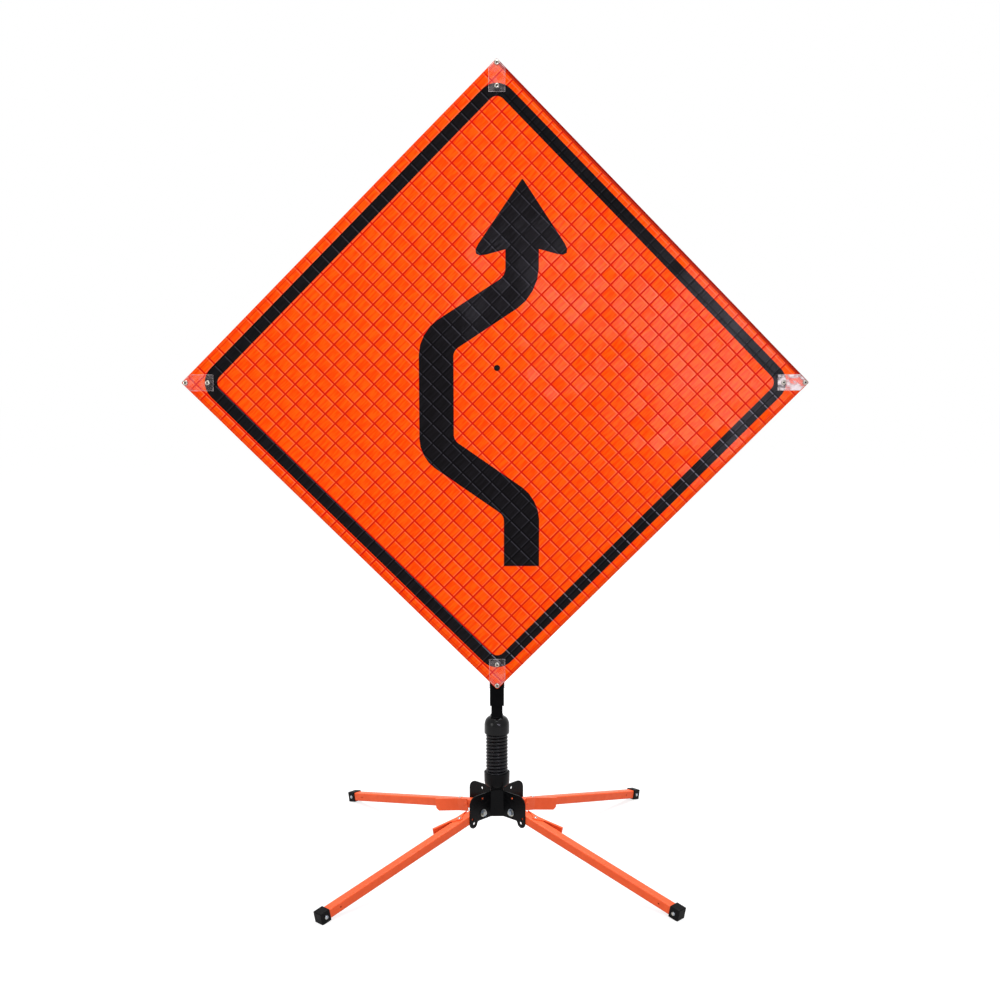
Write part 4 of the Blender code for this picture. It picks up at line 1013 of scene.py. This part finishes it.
rounding_group = rounding()
turned_nodes = [
    node
    for node_name, node in frame["nodes"].items()
    if any(word in node_name for word in TURNED_WORDS)
]
for node in turned_nodes:
    node.modifiers.new("rounding", "NODES").node_group = rounding_group
print("light runs on over", len(turned_nodes), "turned solids")

# %% [markdown]
# Small hardware. The solids carry the true sizes, and this adds what is seen close up on them:
# bright heads on the rivets that pass through rubber and clear plastic, black domes in the eyelets
# that are painted shade in their holes, weld beads where posts and plates meet, threads on the
# clamp screws, and thin tubes along the edges of the clear leaves that are painted highlights.
# Heads are turned from a profile, beads and edges are swept along a path.

# %% Turned and swept pieces
def turned_mesh(name, profile, places, steps=28):
    """One mesh with a copy of the turned profile, (radius, height) round Z, at each place."""
    bm = bmesh.new()
    for place in places:
        part = bmesh.new()
        points = [part.verts.new((radius, 0, height)) for radius, height in profile]
        edges = [part.edges.new(pair) for pair in zip(points, points[1:])]
        bmesh.ops.spin(
            part,
            geom=points + edges,
            cent=(0, 0, 0),
            axis=(0, 0, 1),
            angle=2 * math.pi,
            steps=steps,
            use_merge=True,
        )
        bmesh.ops.transform(part, matrix=place, verts=part.verts)
        copy = bpy.data.meshes.new("turned")
        part.to_mesh(copy)
        part.free()
        bm.from_mesh(copy)
        bpy.data.meshes.remove(copy)
    return finished_mesh(bm, name)


def swept_mesh(name, paths, radius, closed=False, lumps=0.0, sides=2):
    """One mesh of round beads along paths; lumps makes each one swell and shrink as it goes."""
    bm = bmesh.new()
    for path in paths:
        data = bpy.data.curves.new("path", "CURVE")
        data.dimensions = "3D"
        data.bevel_depth = radius
        data.bevel_resolution = sides
        data.use_fill_caps = True
        line = data.splines.new("POLY")
        line.points.add(len(path) - 1)
        line.use_cyclic_u = closed
        for number, (point, place) in enumerate(zip(line.points, path)):
            point.co = (*place, 1.0)
            point.radius = 1.0 + lumps * math.sin(number * 2.4) + lumps * math.sin(number * 1.1)
        thing = bpy.data.objects.new("path", data)
        copy = bpy.data.meshes.new_from_object(thing)
        bm.from_mesh(copy)
        bpy.data.meshes.remove(copy)
        bpy.data.objects.remove(thing)
        bpy.data.curves.remove(data)
    return finished_mesh(bm, name)


def between_points(first, last, count):
    """Evenly spaced places from first to last."""
    first, last = Vector(first), Vector(last)
    return [first.lerp(last, step / (count - 1)) for step in range(count)]


# %% Eyelets on the corners of the sign
# Profiles run from the middle of the head outwards, each point a radius and a height.
EYELET = ((0.0, 0.00270), (0.0014, 0.00270), (0.0026, 0.00262), (0.0042, 0.00240))
EYELET += ((0.0056, 0.00190), (0.0066, 0.00110), (0.0070, 0.00020), (0.0070, -0.00005))
# A small black dome for the middle of each eyelet: painted shade in its hole.
HOLE_SHADE = ((0.0, 0.00285), (0.0018, 0.00290), (0.0025, 0.00275), (0.0026, 0.00255))
FORWARD = (0, -1, 0)
leaf_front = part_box("top_corner_leaf")[0][1]
EYELET_Y = leaf_front - 0.0003
heads = []
for from_tip in (OUTER_HOLE, INNER_HOLE):
    for across, up in near_tips(from_tip):
        spot = (FACE_MIDDLE.x + across, EYELET_Y, FACE_MIDDLE.z + up)
        heads.append(standing(spot, FORWARD))
nickel = zinc_finish("nickel_plate", screen(178, 172, 160), screen(150, 146, 140))
eyelets = turned_mesh("sign_eyelets", EYELET, heads)
make_piece(eyelets, "sign", nickel, 40)
# A black dome in the middle of each eyelet is painted shade, where its hole would be dark.
hole_shades = turned_mesh("sign_eyelet_hole_shades", HOLE_SHADE, heads, 16)
make_piece(hole_shades, "sign", black, 40)

# %% Rivet heads on the foot caps
CAP_HEAD = ((0.0, 0.00290), (0.0016, 0.00285), (0.0034, 0.00245), (0.0048, 0.00160))
CAP_HEAD += ((0.0053, 0.00080), (0.0054, -0.00020))
LEG_SLOPE = math.radians(11.97)
PIVOT_RADIAL = 0.06015
PIVOT_Z = 0.137
LEG_MIDDLE = 0.01279
CAP_HALF = 0.01575
CAP_RIVET_AT = 0.578
UP = Vector((0, 0, 1))
for leg, (side_x, side_y) in LEGS.items():
    out = Vector((side_x, side_y, 0)) * math.sqrt(0.5)
    through = Vector((side_x, -side_y, 0)) * math.sqrt(0.5)
    along = out * math.cos(LEG_SLOPE) - UP * math.sin(LEG_SLOPE)
    pivot = out * PIVOT_RADIAL + through * LEG_MIDDLE + UP * PIVOT_Z
    spot = pivot + along * CAP_RIVET_AT
    ends = [standing(spot + through * CAP_HALF * side, through * side) for side in (-1, 1)]
    cap_heads = turned_mesh(f"{leg}_cap_heads", CAP_HEAD, ends, 24)
    make_piece(cap_heads, f"{leg}_leg", zinc, 40)

# %% Weld beads
BEAD = 0.0022
BEAD_LUMPS = 0.10
POST_BEAD = 0.0018
POST_HALF = 0.0166
POST_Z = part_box("upper_spring_cap")[1][2] + 0.0004
square = [(x * POST_HALF, y * POST_HALF, POST_Z) for x, y in ((-1, -1), (1, -1), (1, 1), (-1, 1))]
foot_path = []
for first, last in zip(square, square[1:] + square[:1]):
    foot_path += between_points(first, last, 16)[:-1]
foot_bead = swept_mesh("post_foot_bead", [foot_path], POST_BEAD, closed=True, lumps=BEAD_LUMPS)
make_piece(foot_bead, "mast", black, 60)

HUB_X = 0.013
HUB_Y = 0.0205
HUB_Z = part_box("front_hub_plate")[1][2] + 0.0006
hub_paths = []
for y in (-HUB_Y, HUB_Y):
    hub_paths.append(between_points((-HUB_X, y, HUB_Z), (HUB_X, y, HUB_Z), 22))
hub_beads = swept_mesh("hub_plate_beads", hub_paths, BEAD, lumps=BEAD_LUMPS)
make_piece(hub_beads, "base", black, 60)

BRACKET_X = 0.0189
BRACKET_Y = -0.0203
bracket_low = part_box("rib_channel")[0][2] + 0.002
bracket_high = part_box("bracket_sleeve")[1][2] - 0.002
bracket_paths = []
for x in (-BRACKET_X, BRACKET_X):
    low_end = (x, BRACKET_Y, bracket_low)
    high_end = (x, BRACKET_Y, bracket_high)
    bracket_paths.append(between_points(low_end, high_end, 26))
bracket_beads = swept_mesh("bracket_beads", bracket_paths, BEAD, lumps=BEAD_LUMPS)
make_piece(bracket_beads, "bracket", black, 60)

# %% Threads of the clamp screws
THREAD_PITCH = 0.0015
THREAD_LONG = 0.043
THREAD_FROM_TIP = 0.0008
THREAD_RADIUS = 0.00472
THREAD_WIRE = 0.00032
THREAD_STEPS = 18
for clamp in ("mast_clamp", "rib_clamp"):
    middle = middle_of(f"{clamp}_tip")
    start_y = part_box(f"{clamp}_tip")[1][1] + THREAD_FROM_TIP
    path = []
    for step in range(math.floor(THREAD_LONG / THREAD_PITCH) * THREAD_STEPS + 1):
        angle = 2 * math.pi * step / THREAD_STEPS
        x = middle.x + THREAD_RADIUS * math.cos(angle)
        z = middle.z + THREAD_RADIUS * math.sin(angle)
        path.append(Vector((x, start_y + THREAD_PITCH * step / THREAD_STEPS, z)))
    threads = swept_mesh(f"{clamp}_threads", [path], THREAD_WIRE, sides=0)
    make_piece(threads, f"{clamp}_screw", zinc, 40)

# %% Painted highlights along the edges of the clear leaves
# A leaf's outline: how far each point is from the sign's tip, and how far to the side.
LEAF_POINTS = ((0.0036, 0), (0.0255, -0.0219), (0.0869, -0.0219))
LEAF_POINTS += ((0.0869, 0.0219), (0.0255, 0.0219))
LEAF_EDGE = 0.00055
LEAF_Y = leaf_front + 0.0002
leaf_paths = []
for x, z in ((-1, 0), (1, 0), (0, -1), (0, 1)):
    inwards = Vector((x, 0, z))
    aside = Vector((-z, 0, x))
    tip = Vector((FACE_MIDDLE.x, LEAF_Y, FACE_MIDDLE.z)) - inwards * FULL_HALF
    leaf_paths.append([tip + inwards * far + aside * wide for far, wide in LEAF_POINTS])
# Thin whitish tubes along each leaf's outline: painted highlights where the edges catch the light.
edge_highlight_finish = clear_finish("leaf_edge", 0.20, 0.80, 0.3)
leaf_edge_highlights = swept_mesh("leaf_edge_highlights", leaf_paths, LEAF_EDGE, closed=True, sides=1)
make_piece(leaf_edge_highlights, "sign", edge_highlight_finish, 60)

# %% [markdown]
# The studio: a pale floor that runs far behind the sign, a white background, and large soft
# lamps. To the camera and in reflections the floor and the world are white, yet they light the
# sign only gently, so a colour renders about as it is written. The floor keeps a part of its own
# shading, so the shadow of the stand still falls on it.

# %% Floor and world
WORLD_LIGHT = 0.66
FLOOR_HALF = 40.0
FLOOR_GREY = 0.32
WHITE = (1.0, 1.0, 1.0, 1.0)
floor_bm = bmesh.new()
bmesh.ops.create_grid(floor_bm, x_segments=1, y_segments=1, size=FLOOR_HALF)
floor_mesh = finished_mesh(floor_bm, "floor", outwards=False)
floor = bpy.data.objects.new("floor", floor_mesh)
scene.collection.objects.link(floor)


def seen_directly(tree):
    """A socket that is 1 for rays of the camera, of reflections and of clear pieces, else 0."""
    rays = tree.nodes.new("ShaderNodeLightPath")
    total = rays.outputs["Is Camera Ray"]
    for name in ("Is Glossy Ray", "Is Transmission Ray"):
        node = tree.nodes.new("ShaderNodeMath")
        node.operation = "MAXIMUM"
        tree.links.new(total, node.inputs[0])
        tree.links.new(rays.outputs[name], node.inputs[1])
        total = node.outputs[0]
    return total


floor_finish = Finish("floor", 1.0)
floor_finish.set("Base Color", (FLOOR_GREY, FLOOR_GREY, FLOOR_GREY, 1.0))
floor_finish.set("Specular IOR Level", 0.0)
floor_finish.set("Emission Color", WHITE)
glow = Value(floor_finish, seen_directly(floor_finish.tree)) * (1 - FLOOR_GREY * WORLD_LIGHT)
floor_finish.set("Emission Strength", glow)
floor_mesh.materials.append(floor_finish.material)

world = bpy.data.worlds.new("world")
world.use_nodes = True
scene.world = world
sky = world.node_tree
sky.nodes["Background"].inputs["Color"].default_value = WHITE
level = sky.nodes.new("ShaderNodeMapRange")
level.inputs["To Min"].default_value = WORLD_LIGHT
level.inputs["To Max"].default_value = 1.0
sky.links.new(seen_directly(sky), level.inputs["Value"])
sky.links.new(level.outputs[0], sky.nodes["Background"].inputs["Strength"])
print("floor and world are made")

# %% Lamps
COOL = (0.88, 0.84, 1.0)
PLAIN = (1.0, 1.0, 1.0)
SKY = (0.94, 0.97, 1.0)
# Each lamp's name, its place, what it points at, its size, its power in watts and its colour.
LAMPS = (
    ("right_window", (1.30, -3.6, 1.39), (0.1, 0, 1.3), (0.80, 0.78), 33, COOL),
    ("middle_window", (0.46, -3.6, 1.80), (0.1, 0, 1.3), (0.42, 0.42), 10, COOL),
    ("left_softbox", (-3.2, -2.6, 1.5), (0, 0, 0.8), (1.2, 1.6), 34, PLAIN),
    ("top_softbox", (0.2, 0.6, 4.3), (0, 0, 0.2), (2.2, 2.2), 195, SKY),
    ("front_strip", (-0.25, -2.0, 3.8), (0, 0, 0.4), (1.3, 0.4), 16, SKY),
)
for name, place, target, size, power, colour in LAMPS:
    lamp_data = bpy.data.lights.new(name, "AREA")
    lamp_data.shape = "RECTANGLE"
    lamp_data.color = colour
    lamp_data.size, lamp_data.size_y = size
    lamp_data.energy = power
    lamp = bpy.data.objects.new(name, lamp_data)
    lamp.location = place
    aim_along = Vector(target) - Vector(place)
    lamp.rotation_euler = aim_along.to_track_quat("-Z", "Y").to_euler()
    scene.collection.objects.link(lamp)
scene.view_settings.view_transform = "Standard"
print(len(LAMPS), "lamps and the plain view transform are set")
